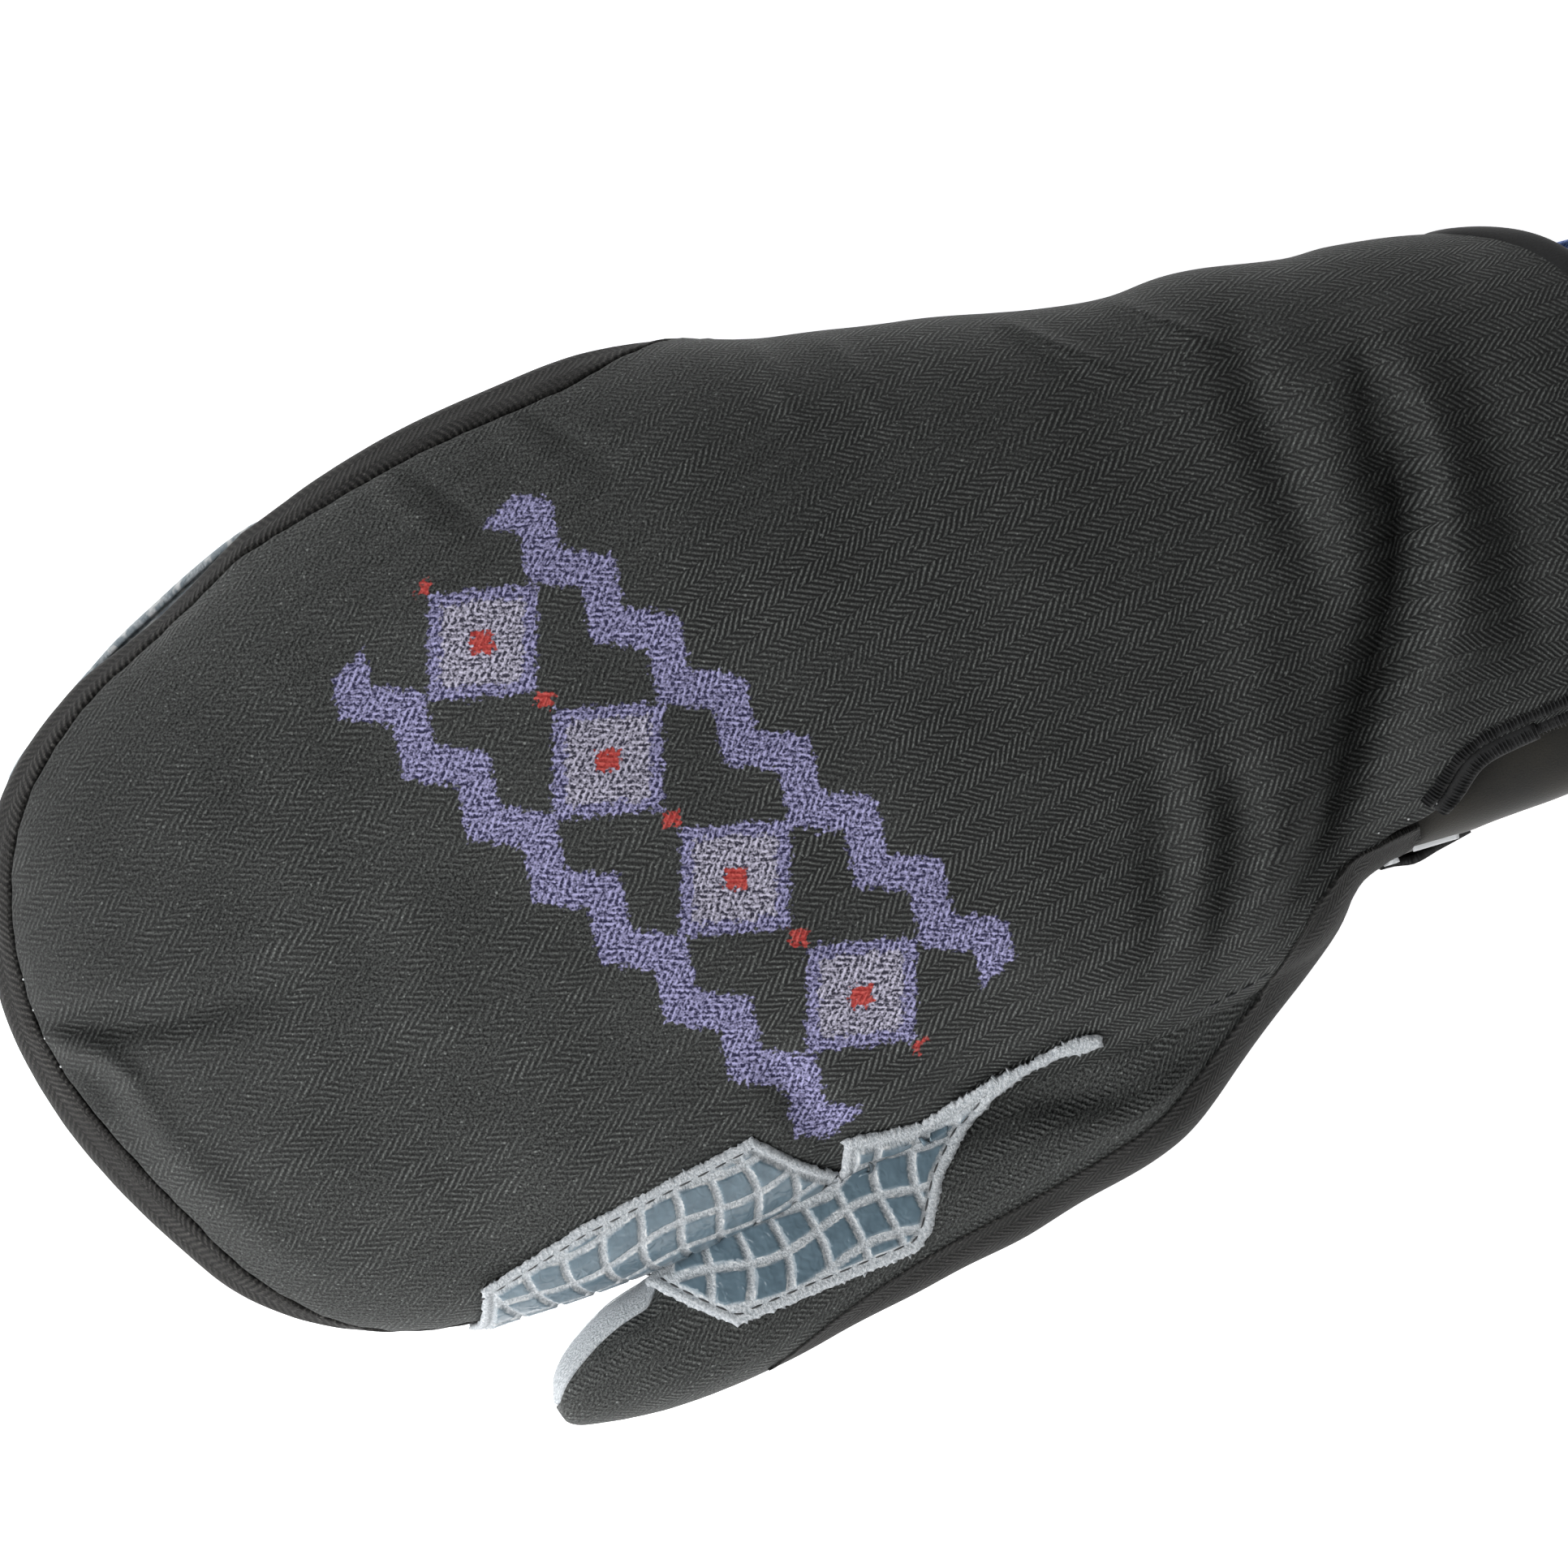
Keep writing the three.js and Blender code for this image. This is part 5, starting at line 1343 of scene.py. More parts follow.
def thumb_bounds(x):
    """The angles of the thumb's seams: palm seam, the back's outer and inner edges, the palm's end."""
    palm_seam = thumb_seam_angle(x)
    heel = thumb_plan_angle(x, column(HEEL_SEAM, x))
    onto_heel = passage(x, "thumb's back meets the heel seam")
    under_heel = SEAM_OVERLAP / thumb_size(x)[0]
    outer = palm_seam * (1 - onto_heel) + (heel + under_heel) * onto_heel
    top = np.full_like(x, math.pi / 2)
    crease = crease_angle(x, outer, np.full_like(x, -0.3), -0.3)
    narrow = np.clip(1 - THUMB_STRIP_WIDTH / thumb_size(x)[0], 0, 1)
    strip = np.arccos(narrow ** (THUMB_ROUNDNESS / 2)) * (1 - passage(x, "thumb's strip ends"))
    inner = np.maximum(np.minimum(crease - 0.12, top), strip)
    low_crease = crease_angle(x, palm_seam, np.full_like(x, 2 * math.pi + 0.3), 2 * math.pi)
    onto_palm = passage(x, "thumb's palm meets the crease")
    end = (2 * math.pi + strip) * (1 - onto_palm) + (low_crease + 0.02) * onto_palm
    return palm_seam, outer, inner, end


class MITTEN_OT_thumb(bpy.types.Operator):
    """Makes the thumb's twill back and its suede palm"""

    bl_idname = "mitten.thumb"
    bl_label = "Thumb"

    def execute(self, context):
        x = THUMB_SECTIONS
        palm_seam, outer, inner, end = thumb_bounds(x)

        def surface(angles):
            return thumb_point(np.broadcast_to(x[:, None], angles.shape), angles)

        back_rows = x < THUMB_SKIN_END_X
        points, run, total = even_rows(surface, outer, inner, ROW_COUNT["thumb_back"], seams=(True, True))
        points, run, total = points[back_rows], run[back_rows], total[back_rows]
        course = x[back_rows, None] + 0 * run
        gather = 0.8 - 0.7 * passage(course, "thumb's gathers fade")
        roll = 1.1 - 0.8 * passage(course, "thumb's round edge fades")
        dressed = dress(points, course, run, total - run, (roll, 0.5), ripples=0.8, gather=gather)
        crown = run_to(surface, outer, inner, math.pi / 2)[back_rows]
        maps = np.stack([course, crown - run], -1)
        back = grid_piece("thumb_back_twill", dressed, maps)
        give_wall(back, WALL["thumb_back"])
        finish_piece(back, material("plain_twill"), ["thumb_back_panel"])

        points, run, total = even_rows(surface, palm_seam, end, ROW_COUNT["thumb_palm"], seams=(True, True))
        points, run, total = points[back_rows], run[back_rows], total[back_rows]
        normals = grid_normals(points, -1)
        edge = seam_roll(run, 0.8) + seam_roll(total - run, 0.7)
        points = points + normals * edge[..., None]
        points[..., 2] = np.maximum(points[..., 2], 0.0)
        maps = np.stack([x[back_rows, None] + 0 * run, run - total], -1)
        palm = grid_piece("thumb_palm_suede", points, maps, outwards=-1)
        give_wall(palm, WALL["thumb_palm"])
        finish_piece(palm, material("thumb_suede"), ["thumb_palm_panel"])
        return {"FINISHED"}


class MITTEN_OT_heel_panel(bpy.types.Operator):
    """Makes the side panel under the thumb that runs to the wrist"""

    bl_idname = "mitten.heel_panel"
    bl_label = "Heel panel"

    def execute(self, context):
        x = spaced(89.5, HEEL_SEAM[-1, 0], SPACING["thumb"])
        top_y = column(HEEL_SEAM, x)
        top = smooth_max(hand_height(x, top_y), thumb_height(x, top_y), 1.0)
        middle = np.linspace(0.1, 0.9, ROW_COUNT["heel"])
        share = np.concatenate([SEAM_ROWS / 20, middle, 1 - SEAM_ROWS[::-1] / 20])
        low = PALM_SEAM_HEIGHT + (top - PALM_SEAM_HEIGHT) * 0.8 * ease(x, CUFF_JOIN_X - 2, HEEL_SEAM[-1, 0])
        z = low[:, None] + (top - low)[:, None] * share
        grid_x = np.broadcast_to(x[:, None], z.shape)
        past_thumb = 6 * passage(grid_x, "heel panel leaves the thumb")
        y = -smooth_max(-outer_thumb_y(grid_x, z) - past_thumb, -outer_hand_y(grid_x, z), 3.0)
        y = y - 0.4 * passage(grid_x, "heel panel tucks in")
        points = np.stack([grid_x, y, z], -1)
        run = run_lengths(points)
        total = run[:, -1:]
        dressed = dress(points, grid_x, run, total - run, (0.8, 0.05), ripples=0.9, gather=0.1)
        bead = 0.35 * np.exp(-((total - run - 0.2) / 1.2) ** 2)
        dressed = dressed + grid_normals(points) * bead[..., None]
        piece = grid_piece("heel_panel_twill", dressed, np.stack([grid_x, run], -1))
        give_wall(piece, WALL["heel"])
        finish_piece(piece, material("heel_twill"), ["heel_panel"])
        return {"FINISHED"}


def outer_thumb_y(x, z):
    """y of the thumb's outer side at a height."""
    half_width, half_height, middle_y, middle_z, _ = thumb_size(np.minimum(x, THUMB[-1, 0]))
    up = np.abs(z - middle_z) / (half_height + PALM_FLATTENING * (z < middle_z))
    across = np.sqrt(1 - np.clip(up, 0, 1) ** THUMB_ROUNDNESS) ** (2 / THUMB_ROUNDNESS)
    return middle_y - half_width * across


def outer_hand_y(x, z):
    """y of the hand's index side at a height."""
    rays = side_rays(x, "index")
    crown = column(HEIGHTS, x, 1)
    underside = np.maximum(column(HEIGHTS, x, 2), 0)
    above = z >= rays.widest
    rise = np.where(above, (z - rays.widest) / (crown - rays.widest),
                    (rays.widest - z) / (rays.widest - underside + PALM_FLATTENING))
    roundness = np.where(above, BACK_ROUNDNESS, PALM_ROUNDNESS)
    share = np.sqrt(1 - np.clip(rise, 0, 1) ** roundness) ** (2 / roundness)
    return rays.spine[..., 1] + (rays.edge[..., 1] - rays.spine[..., 1]) * share


class MITTEN_OT_grip_patches(bpy.types.Operator):
    """Makes the two suede grip patches over the index finger and the crook of the thumb"""

    bl_idname = "mitten.grip_patches"
    bl_label = "Grip patches"

    def execute(self, context):
        top = [(x, height_on_side(x, y)) for x, y in FINGER_PATCH_TOP]
        flat, faces, edge_distance = patch_mesh(top + FINGER_PATCH_LOW, SPACING["patch"])
        block = block_share(flat, edge_distance, (0.5, 1.5), 0.05)
        lift = 0.35 + patch_profile(edge_distance, block)
        points = side_patch_points(flat, lift)
        self.make("finger_patch_suede", points, faces, flat, block, "finger_overlay")
        flat, faces, edge_distance = patch_mesh(WEB_PATCH, SPACING["patch"])
        block = block_share(flat, edge_distance, (3.0, 0.0), -0.12)
        lift = 0.35 + patch_profile(edge_distance, block)
        points = web_patch_points(flat, lift)
        self.make("web_patch_suede", points, faces, flat, block, "web_overlay")
        return {"FINISHED"}

    def make(self, name, points, faces, flat, block, solid):
        piece = build_mesh(name, points, faces, flat, block)
        give_wall(piece, WALL["patch"])
        finish_piece(piece, material("grip_suede"), [solid])


def patch_mesh(outline, spacing):
    """Fills an outline with an even mesh, and gives each point's distance to the edge."""
    corners = np.array(outline, float)
    closed = np.concatenate([corners, corners[:1]])
    rim = []
    for a, b in zip(closed[:-1], closed[1:]):
        count = max(int(np.linalg.norm(b - a) / spacing), 1)
        rim += [a + (b - a) * i / count for i in range(count)]
    rim = np.array(rim) + np.random.default_rng(5).normal(0.0, GRIP["fray"], (len(rim), 2))
    low, high = corners.min(0), corners.max(0)
    row_step = spacing * math.sqrt(3) / 2
    inner = []
    for row, v in enumerate(np.arange(low[1], high[1], row_step)):
        offset = spacing / 2 * (row % 2)
        inner += [(u + offset, v) for u in np.arange(low[0], high[0], spacing)]
    inner = np.array(inner)
    inner = inner[inside_outline(inner, corners)]
    inner = inner[distance_to_outline(inner, corners) > spacing * 0.8]
    verts = [Vector(p) for p in np.concatenate([rim, inner])]
    edges = [(i, (i + 1) % len(rim)) for i in range(len(rim))]
    out_verts, _, out_faces, *_ = delaunay_2d_cdt(verts, edges, [], 1, 1e-5)
    flat = np.array([(v[0], v[1]) for v in out_verts])
    return flat, [list(f) for f in out_faces], distance_to_outline(flat, corners)


def inside_outline(points, corners):
    """Whether points lie inside a closed outline."""
    x, y = points[:, 0], points[:, 1]
    inside = np.zeros(len(points), bool)
    for a, b in zip(corners, np.roll(corners, -1, axis=0)):
        crosses = (a[1] > y) != (b[1] > y)
        with np.errstate(divide="ignore", invalid="ignore"):
            at = (b[0] - a[0]) * (y - a[1]) / (b[1] - a[1]) + a[0]
        inside ^= crosses & (x < at)
    return inside


def distance_to_outline(points, corners):
    """The distance of points from the nearest side of an outline."""
    best = np.full(len(points), 1e9)
    for a, b in zip(corners, np.roll(corners, -1, axis=0)):
        side = b - a
        t = np.clip(((points - a) @ side) / (side @ side), 0, 1)
        best = np.minimum(best, np.linalg.norm(points - a - t[:, None] * side, axis=1))
    return best


def block_share(flat, edge_distance, shift, lean):
    """From 0 on the pale lines and the border to 1 on a moulded block."""
    u = flat[:, 0] + lean * flat[:, 1] + 1.2 * np.sin(flat[:, 1] * 0.27 + flat[:, 0] * 0.07) + shift[0]
    v = flat[:, 1] - 0.10 * flat[:, 0] + 1.2 * np.sin(flat[:, 0] * 0.21) + shift[1]
    cell, half_line = GRIP["cell"], GRIP["line"] / 2
    share = np.ones(len(flat))
    for value in (u, v):
        to_line = np.abs((value / cell + 0.5) % 1 - 0.5) * cell
        share = share * ease(to_line, half_line - 0.2, half_line + 0.25)
    return share * ease(edge_distance, GRIP["border"] - 0.25, GRIP["border"] + 0.3)


def patch_profile(edge_distance, block):
    """Height of a patch's face: a rounded border, a stitched groove inside it and the raised blocks."""
    rounded = 0.75 * np.sqrt(1 - np.clip(1 - edge_distance / 1.0, 0, 1) ** 2)
    groove = -0.35 * np.exp(-((edge_distance - 1.75) / 0.3) ** 2)
    return rounded + groove + GRIP["relief"] * block


def side_profile(x):
    """Lengths along the index side from its widest line, with the angles there."""
    angles = np.linspace(-1.35, 1.35, 181)
    rays = side_rays(np.full_like(angles, x), "index")
    points = hand_point(rays, angles)
    run = path_run(points)
    return run - np.interp(0.0, angles, run), angles


def height_on_side(x, y):
    """Length of cloth from the widest line up to the place above a point in plan."""
    run, angles = side_profile(x)
    return float(np.interp(angle_above(x, y), angles, run))


def side_patch_points(flat, lift):
    """Wraps a patch round the index side of the hand."""
    angles = np.empty(len(flat))
    for x in np.unique(np.round(flat[:, 0], 1)):
        here = np.abs(flat[:, 0] - x) <= 0.0501
        run, profile = side_profile(x)
        angles[here] = np.interp(flat[here, 1], run, profile)
    rays = side_rays(flat[:, 0], "index")
    return push_out(lambda x, a: hand_point(side_rays(x, "index"), a), flat[:, 0], angles, lift, rays)


def push_out(surface, x, angle, lift, rays):
    """Points that stand off a surface by their own lift."""
    here = surface(x, angle)
    ahead = surface(x + 0.2, angle) - here
    upwards = surface(x, angle + 0.01) - here
    normals = unit(np.cross(upwards, ahead))
    outwards = here[:, 1] - rays.spine[:, 1]
    flip = np.sign(normals[:, 1] * outwards)
    return here + normals * (lift * np.where(flip == 0, 1, flip))[:, None]


def crook_height(x, y):
    """Height of the hand and the thumb together, with the web of suede that bridges their crook."""
    bridge = 21.5 - 0.5 * np.abs(x - 84)
    both = smooth_max(hand_height(x, y), thumb_height(x, y), 3.0)
    return smooth_max(both, bridge, 3.0)


def web_patch_points(flat, lift):
    """Lays a patch over the crook of the thumb."""
    return laid_on(crook_height, flat[:, 0], flat[:, 1], lift)[0]


def sweep(path, normals, section):
    """Carries a closed section, or one for each place, along a path. Columns: across, outwards."""
    section = np.broadcast_to(section, (len(path), *section.shape[-2:]))
    along = unit(np.gradient(path, axis=0))
    normals = unit(normals - along * np.sum(normals * along, axis=1, keepdims=True))
    side = np.cross(normals, along)
    return (
        path[:, None, :]
        + side[:, None, :] * section[..., 0:1]
        + normals[:, None, :] * section[..., 1:2]
    )


def swept_piece(name, path, normals, section):
    """A closed tape of this section along a path, with capped ends."""
    rings = sweep(path, normals, section)
    count, sides = rings.shape[:2]
    index = np.arange(count * sides).reshape(count, sides)
    following = np.roll(index, -1, axis=1)
    quads = np.stack([index[:-1], following[:-1], following[1:], index[1:]], -1).reshape(-1, 4).tolist()
    caps = [index[0][::-1].tolist(), index[-1].tolist()]
    run = path_run(path)
    round_run = np.linspace(0, 1, sides, endpoint=False) * 12
    uv = np.stack(np.broadcast_arrays(run[:, None], round_run[None, :]), -1)
    return build_mesh(name, rings.reshape(-1, 3), quads + caps, uv.reshape(-1, 2))


def oval(half_width, half_thickness, sides=18, power=0.8):
    """A flattened round section."""
    angle = np.linspace(0, 2 * math.pi, sides, endpoint=False)
    across = half_width * signed_power(np.cos(angle), power)
    return np.stack([across, half_thickness * signed_power(np.sin(angle), power)], -1)


def folded_sections(half_width, half_thickness, fold):
    """Ovals with a groove along the middle of their upper face, as deep as the tape is folded there."""
    section = oval(half_width, half_thickness, 72, power=1.0)
    groove = 0.55 * half_thickness * np.exp(-(section[:, 0] / (0.17 * half_width)) ** 2) * (section[:, 1] > 0)
    sections = np.repeat(section[None], len(fold), axis=0)
    sections[..., 1] -= groove * fold[:, None]
    return sections


def beside(path, normals, across, up=0.0):
    """The same path, moved to its side and along its normals."""
    side = unit(np.cross(normals, np.gradient(path, axis=0)))
    return path + side * across + normals * up


def even_path(points, normals, spacing):
    """Places points evenly along a path, with the normals between."""
    run = path_run(points)
    return smoothed(evenly(run, points, spacing), 6), unit(evenly(run, normals, spacing))


def rim_path():
    """The back cuff's free edge, from the vent round the rim to the little finger side."""
    x = spaced(217.5, RIM_NOMINAL_X, 0.7)
    start = back_start("index", x)
    vent = back_side(x, start[:, None], "index")[:, 0]
    vent_in = back_side(x, start[:, None] + 0.02, "index")[:, 0]
    rim_angles_index = spaced(float(start[-1]), math.pi / 2, 0.02)[1:]
    rim_angles_little = spaced(math.pi / 2, math.radians(-33), 0.02)[1:]
    end = np.array([RIM_NOMINAL_X])
    rim_a = back_side(end, rim_angles_index[None, :], "index")[0]
    rim_b = back_side(end, rim_angles_little[None, :], "little_finger")[0]
    path = np.concatenate([vent, rim_a, rim_b])
    inner = np.array([RIM_NOMINAL_X - 1.5])
    in_a = back_side(inner, rim_angles_index[None, :], "index")[0]
    in_b = back_side(inner, rim_angles_little[None, :], "little_finger")[0]
    inside = np.concatenate([vent_in, in_a, in_b])
    along = np.gradient(path, axis=0)
    normals = np.cross(along, path - inside)
    normals *= np.sign(np.sum(normals * (path - (250, 0, 20)), axis=1, keepdims=True))
    normals, inwards = unit(normals), unit(inside - path)
    return even_path(path - normals * CUFF_WALL / 2 + inwards * BINDING["inset"], normals, 1.0)


def undercuff_rays(x):
    """The undercuff's ends: its tuck under the back on the index side, and the little finger side."""
    index_start = angle_above(x, np.full_like(x, UNDERCUFF["tuck_y"]))
    little = side_rays(x, "little_finger")
    little_end = palm_seam_angle(little, UNDERCUFF["little_finger_z"])
    return index_start, little_end


def undercuff_grid(x, rows, grow=0.0):
    """Points of the undercuff's outer face, across the mitten at each x."""
    start, end = undercuff_rays(x)
    shape = {"grow": grow, "drop": UNDERCUFF["drop"]}
    index_side = hand_surface(side_rays(x, "index"), **shape)
    little_side = hand_surface(side_rays(x, "little_finger"), **shape)
    bottom = np.full_like(x, -math.pi / 2)
    first, _, _ = even_rows(index_side, start, bottom, rows, seams=(False, False))
    second, _, _ = even_rows(little_side, bottom, end, rows // 2, seams=(False, False))
    return np.concatenate([first, second[:, 1:]], axis=1)


class MITTEN_OT_cuff(bpy.types.Operator):
    """Makes the undercuff and the knitted bindings of both rims"""

    bl_idname = "mitten.cuff"
    bl_label = "Cuff"

    def execute(self, context):
        x = spaced(UNDERCUFF["from_x"], UNDERCUFF["to_x"], SPACING["cuff"])
        points = undercuff_grid(x, ROW_COUNT["undercuff"])
        run = run_lengths(points)
        normals = grid_normals(points, -1)
        soft = ripple_height(points[..., 0], run) * 0.8 + 0.5 * np.sin(run * 0.16 + points[..., 0] * 0.1)
        calm = np.clip((x - x[0]) / 6, 0, 1)[:, None] * np.clip((points[..., 2] - 1.5) / 4, 0, 1)
        points = points + normals * (np.minimum(soft, 0.4) * calm)[..., None]
        piece = grid_piece("undercuff_tricot", points, np.stack([points[..., 0], run], -1), outwards=-1)
        give_wall(piece, WALL["undercuff"])
        finish_piece(piece, material("cuff_tricot"), ["undercuff"])

        path, normals = rim_path()
        fold = 1 - ease(path[:, 1], -30, -20)
        sections = folded_sections(BINDING["half_width"], BINDING["half_thickness"], fold)
        tape = swept_piece("cuff_binding_knit", path, normals, sections)
        finish_piece(tape, material("knit_binding"), ["cuff_binding"])
        vent = path[:, 1] < -18
        path, normals = path[vent], normals[vent]
        whole = np.ones(len(path), bool)
        folded = (path[:, 0] > 217) & (path[:, 0] < 236.5)
        outer, inner = -0.5 * BINDING["half_width"], 0.5 * BINDING["half_width"]
        line = beside(path[folded], normals[folded], outer, 0.45)
        tab = swept_piece("cuff_binding_tab", line, normals[folded], oval(1.75, 1.55, 24, power=0.7))
        finish_piece(tab, material("knit_binding"))
        rows = (("inner", inner, 0.0, whole), ("outer", outer, 0.0, whole), ("tab", outer, 0.5, folded))
        for name, across, up, part in rows:
            line = beside(path, normals, across, up)[part]
            ribs = row_along(f"cuff_binding_{name}_ribs", line, normals[part], "rib")
            finish_piece(ribs, material("knit_binding"))

        rim_at = np.array([UNDERCUFF["to_x"] - BINDING["half_width"] + 1.0])
        rim = undercuff_grid(rim_at, ROW_COUNT["undercuff_rim"], grow=-CUFF_WALL / 2)[0]
        middle = rim.mean(axis=0)
        outwards = rim - middle
        outwards[:, 0] = 0
        path, normals = even_path(rim, outwards, 1.0)
        section = oval(BINDING["half_width"], BINDING["half_thickness"])
        tape = swept_piece("undercuff_binding_knit", path, normals, section)
        finish_piece(tape, material("knit_binding"), ["undercuff_binding"])
        return {"FINISHED"}


def row_tree(kind):
    """A node tree that sets stitches or ribs in a row along a line, a pitch apart."""
    tree = bpy.data.node_groups.new(f"{kind}_row", "GeometryNodeTree")
    tree.interface.new_socket("Geometry", in_out="INPUT", socket_type="NodeSocketGeometry")
    for name in ("Pitch", "Length", "Width", "Height"):
        tree.interface.new_socket(name, in_out="INPUT", socket_type="NodeSocketFloat")
    tree.interface.new_socket("Seed", in_out="INPUT", socket_type="NodeSocketInt")
    tree.interface.new_socket("Material", in_out="INPUT", socket_type="NodeSocketMaterial")
    tree.interface.new_socket("Geometry", in_out="OUTPUT", socket_type="NodeSocketGeometry")
    given = tree.nodes.new("NodeGroupInput").outputs
    curve = node(tree, "GeometryNodeMeshToCurve", [given["Geometry"]])
    line = node(tree, "GeometryNodeResampleCurve", {"Curve": curve, "Length": given["Pitch"]}, mode="LENGTH")
    tangent = node(tree, "GeometryNodeInputTangent")
    outwards = node(tree, "GeometryNodeInputNamedAttribute", {"Name": "outwards"}, data_type="FLOAT_VECTOR")
    turn = node(tree, "FunctionNodeAlignRotationToVector", {"Vector": tangent}, axis="X")
    turn = node(tree, "FunctionNodeAlignRotationToVector", {"Rotation": turn, "Vector": outwards}, axis="Z",
                pivot_axis="X")
    half = {
        name: node(tree, MATH, [given[name], 0.5], operation="MULTIPLY")
        for name in ("Length", "Width", "Height")
    }
    size = node(tree, "ShaderNodeCombineXYZ", [half["Length"], half["Width"], half["Height"]])
    vary = node(tree, "FunctionNodeRandomValue", {"Min": (0.86, 0.9, 0.9), "Max": (1.06, 1.06, 1.08),
                                                  "Seed": given["Seed"]}, data_type="FLOAT_VECTOR")
    size = node(tree, VECTOR, [size, vary], operation="MULTIPLY")
    stitch = node(tree, "GeometryNodeMeshIcoSphere", {"Radius": 1.0, "Subdivisions": 2})
    stitch = node(tree, "GeometryNodeSetShadeSmooth", [stitch])
    placed = node(tree, "GeometryNodeInstanceOnPoints", {
        "Points": line, "Instance": stitch, "Rotation": turn, "Scale": size})
    real = node(tree, "GeometryNodeRealizeInstances", [placed])
    done = node(tree, "GeometryNodeSetMaterial", {"Geometry": real, "Material": given["Material"]})
    node(tree, "NodeGroupOutput", [done])
    return tree


# One stitch or rib of a row, in millimetres. What a row doesn't give is a size in the sidebar.
ROWS = {
    "rib": {"Length": 0.46, "Width": 3.5, "Height": 4.0, "Material": "knit_binding"},
    "stitch": {"Height": 0.5, "Material": "dark_thread"},
    "dot": {"Length": 0.4, "Width": 0.3, "Height": 0.4, "Pitch": 3.9, "Material": "pale_thread"},
}


def row_along(name, path, normals, kind):
    """Sets a row of stitches or ribs along a path and gives it as one plain mesh."""
    mesh = bpy.data.meshes.new(name)
    mesh.from_pydata(to_row(path).tolist(), [(i, i + 1) for i in range(len(path) - 1)], [])
    outwards = mesh.attributes.new("outwards", "FLOAT_VECTOR", "POINT")
    outwards.data.foreach_set("vector", np.asarray(normals, np.float32).ravel())
    line = add_object(name, mesh)
    tree = bpy.data.node_groups.get(f"{kind}_row") or row_tree(kind)
    row = ROWS[kind]
    values = {
        "Pitch": sizes().rib_pitch if kind == "rib" else sizes().stitch_pitch,
        "Length": sizes().stitch_length,
        "Width": sizes().thread_width,
        "Seed": 7,
    }
    values.update({name: value * MM for name, value in row.items() if name != "Material"})
    values["Material"] = material(row["Material"])
    modifier = line.modifiers.new("row", "NODES")
    modifier.node_group = tree
    for item in tree.interface.items_tree:
        if item.in_out == "INPUT" and item.name in values:
            modifier[item.identifier] = values[item.name]
    graph = bpy.context.evaluated_depsgraph_get()
    made = bpy.data.meshes.new_from_object(line.evaluated_get(graph), depsgraph=graph)
    line.modifiers.clear()
    line.data = made
    return line


class MITTEN_OT_stitches(bpy.types.Operator):
    """Sews the visible rows of stitches"""

    bl_idname = "mitten.stitches"
    bl_label = "Stitches"

    def execute(self, context):
        x = spaced(160, 184, 1)
        path, normals = laid_on(hand_height, x, column(BACK_INDEX_EDGE, x) + 1.6, 0.0)
        self.sew("thumb_seam_stitches", path, normals, "stitch")
        x = spaced(203, 218, 1)
        path, normals = laid_on(hand_height, x, column(BACK_INDEX_EDGE, x) + 1.4, -0.1)
        self.sew("wrist_seam_stitches", path, normals, "dot")
        degrees = spaced(170, 186, 1)
        rays = tip_rays(degrees)
        angle = band_seam_angle(degrees, "tip") + 0.02
        points = hand_point(rays, angle)
        outwards = unit(points - (TIP_X, TIP_Y, 10))
        self.sew("band_seam_stitches", points, outwards, "dot")
        top = [(x, height_on_side(x, y) - 1.75) for x, y in FINGER_PATCH_TOP]
        flat = even_flat(top[:-1], 1.0)
        self.sew("finger_patch_stitches", *lifted(side_patch_points, flat, 0.75), "stitch")
        lower = inset_line(WEB_PATCH[20:12:-1], 1.8)
        flat = even_flat(lower, 1.0)
        self.sew("web_patch_stitches", *lifted(web_patch_points, flat, 0.75), "stitch")
        return {"FINISHED"}

    def sew(self, name, path, normals, kind):
        row = row_along(name, path, normals, kind)
        finish_piece(row, material(ROWS[kind]["Material"]))


def even_flat(points, spacing):
    """Places points evenly along a line in a flat pattern."""
    points = np.array(points, float)
    return evenly(path_run(points), points, spacing)


def inset_line(points, distance):
    """Moves an open line to its left by a distance."""
    points = np.array(points, float)
    along = unit(np.gradient(points, axis=0))
    left = np.stack([-along[:, 1], along[:, 0]], -1)
    return points + left * distance


def lifted(lay, flat, lift):
    """Lays a flat line on the mitten, and gives its points and normals."""
    low = lay(flat, np.full(len(flat), lift))
    high = lay(flat, np.full(len(flat), lift + 1.0))
    return low, high - low


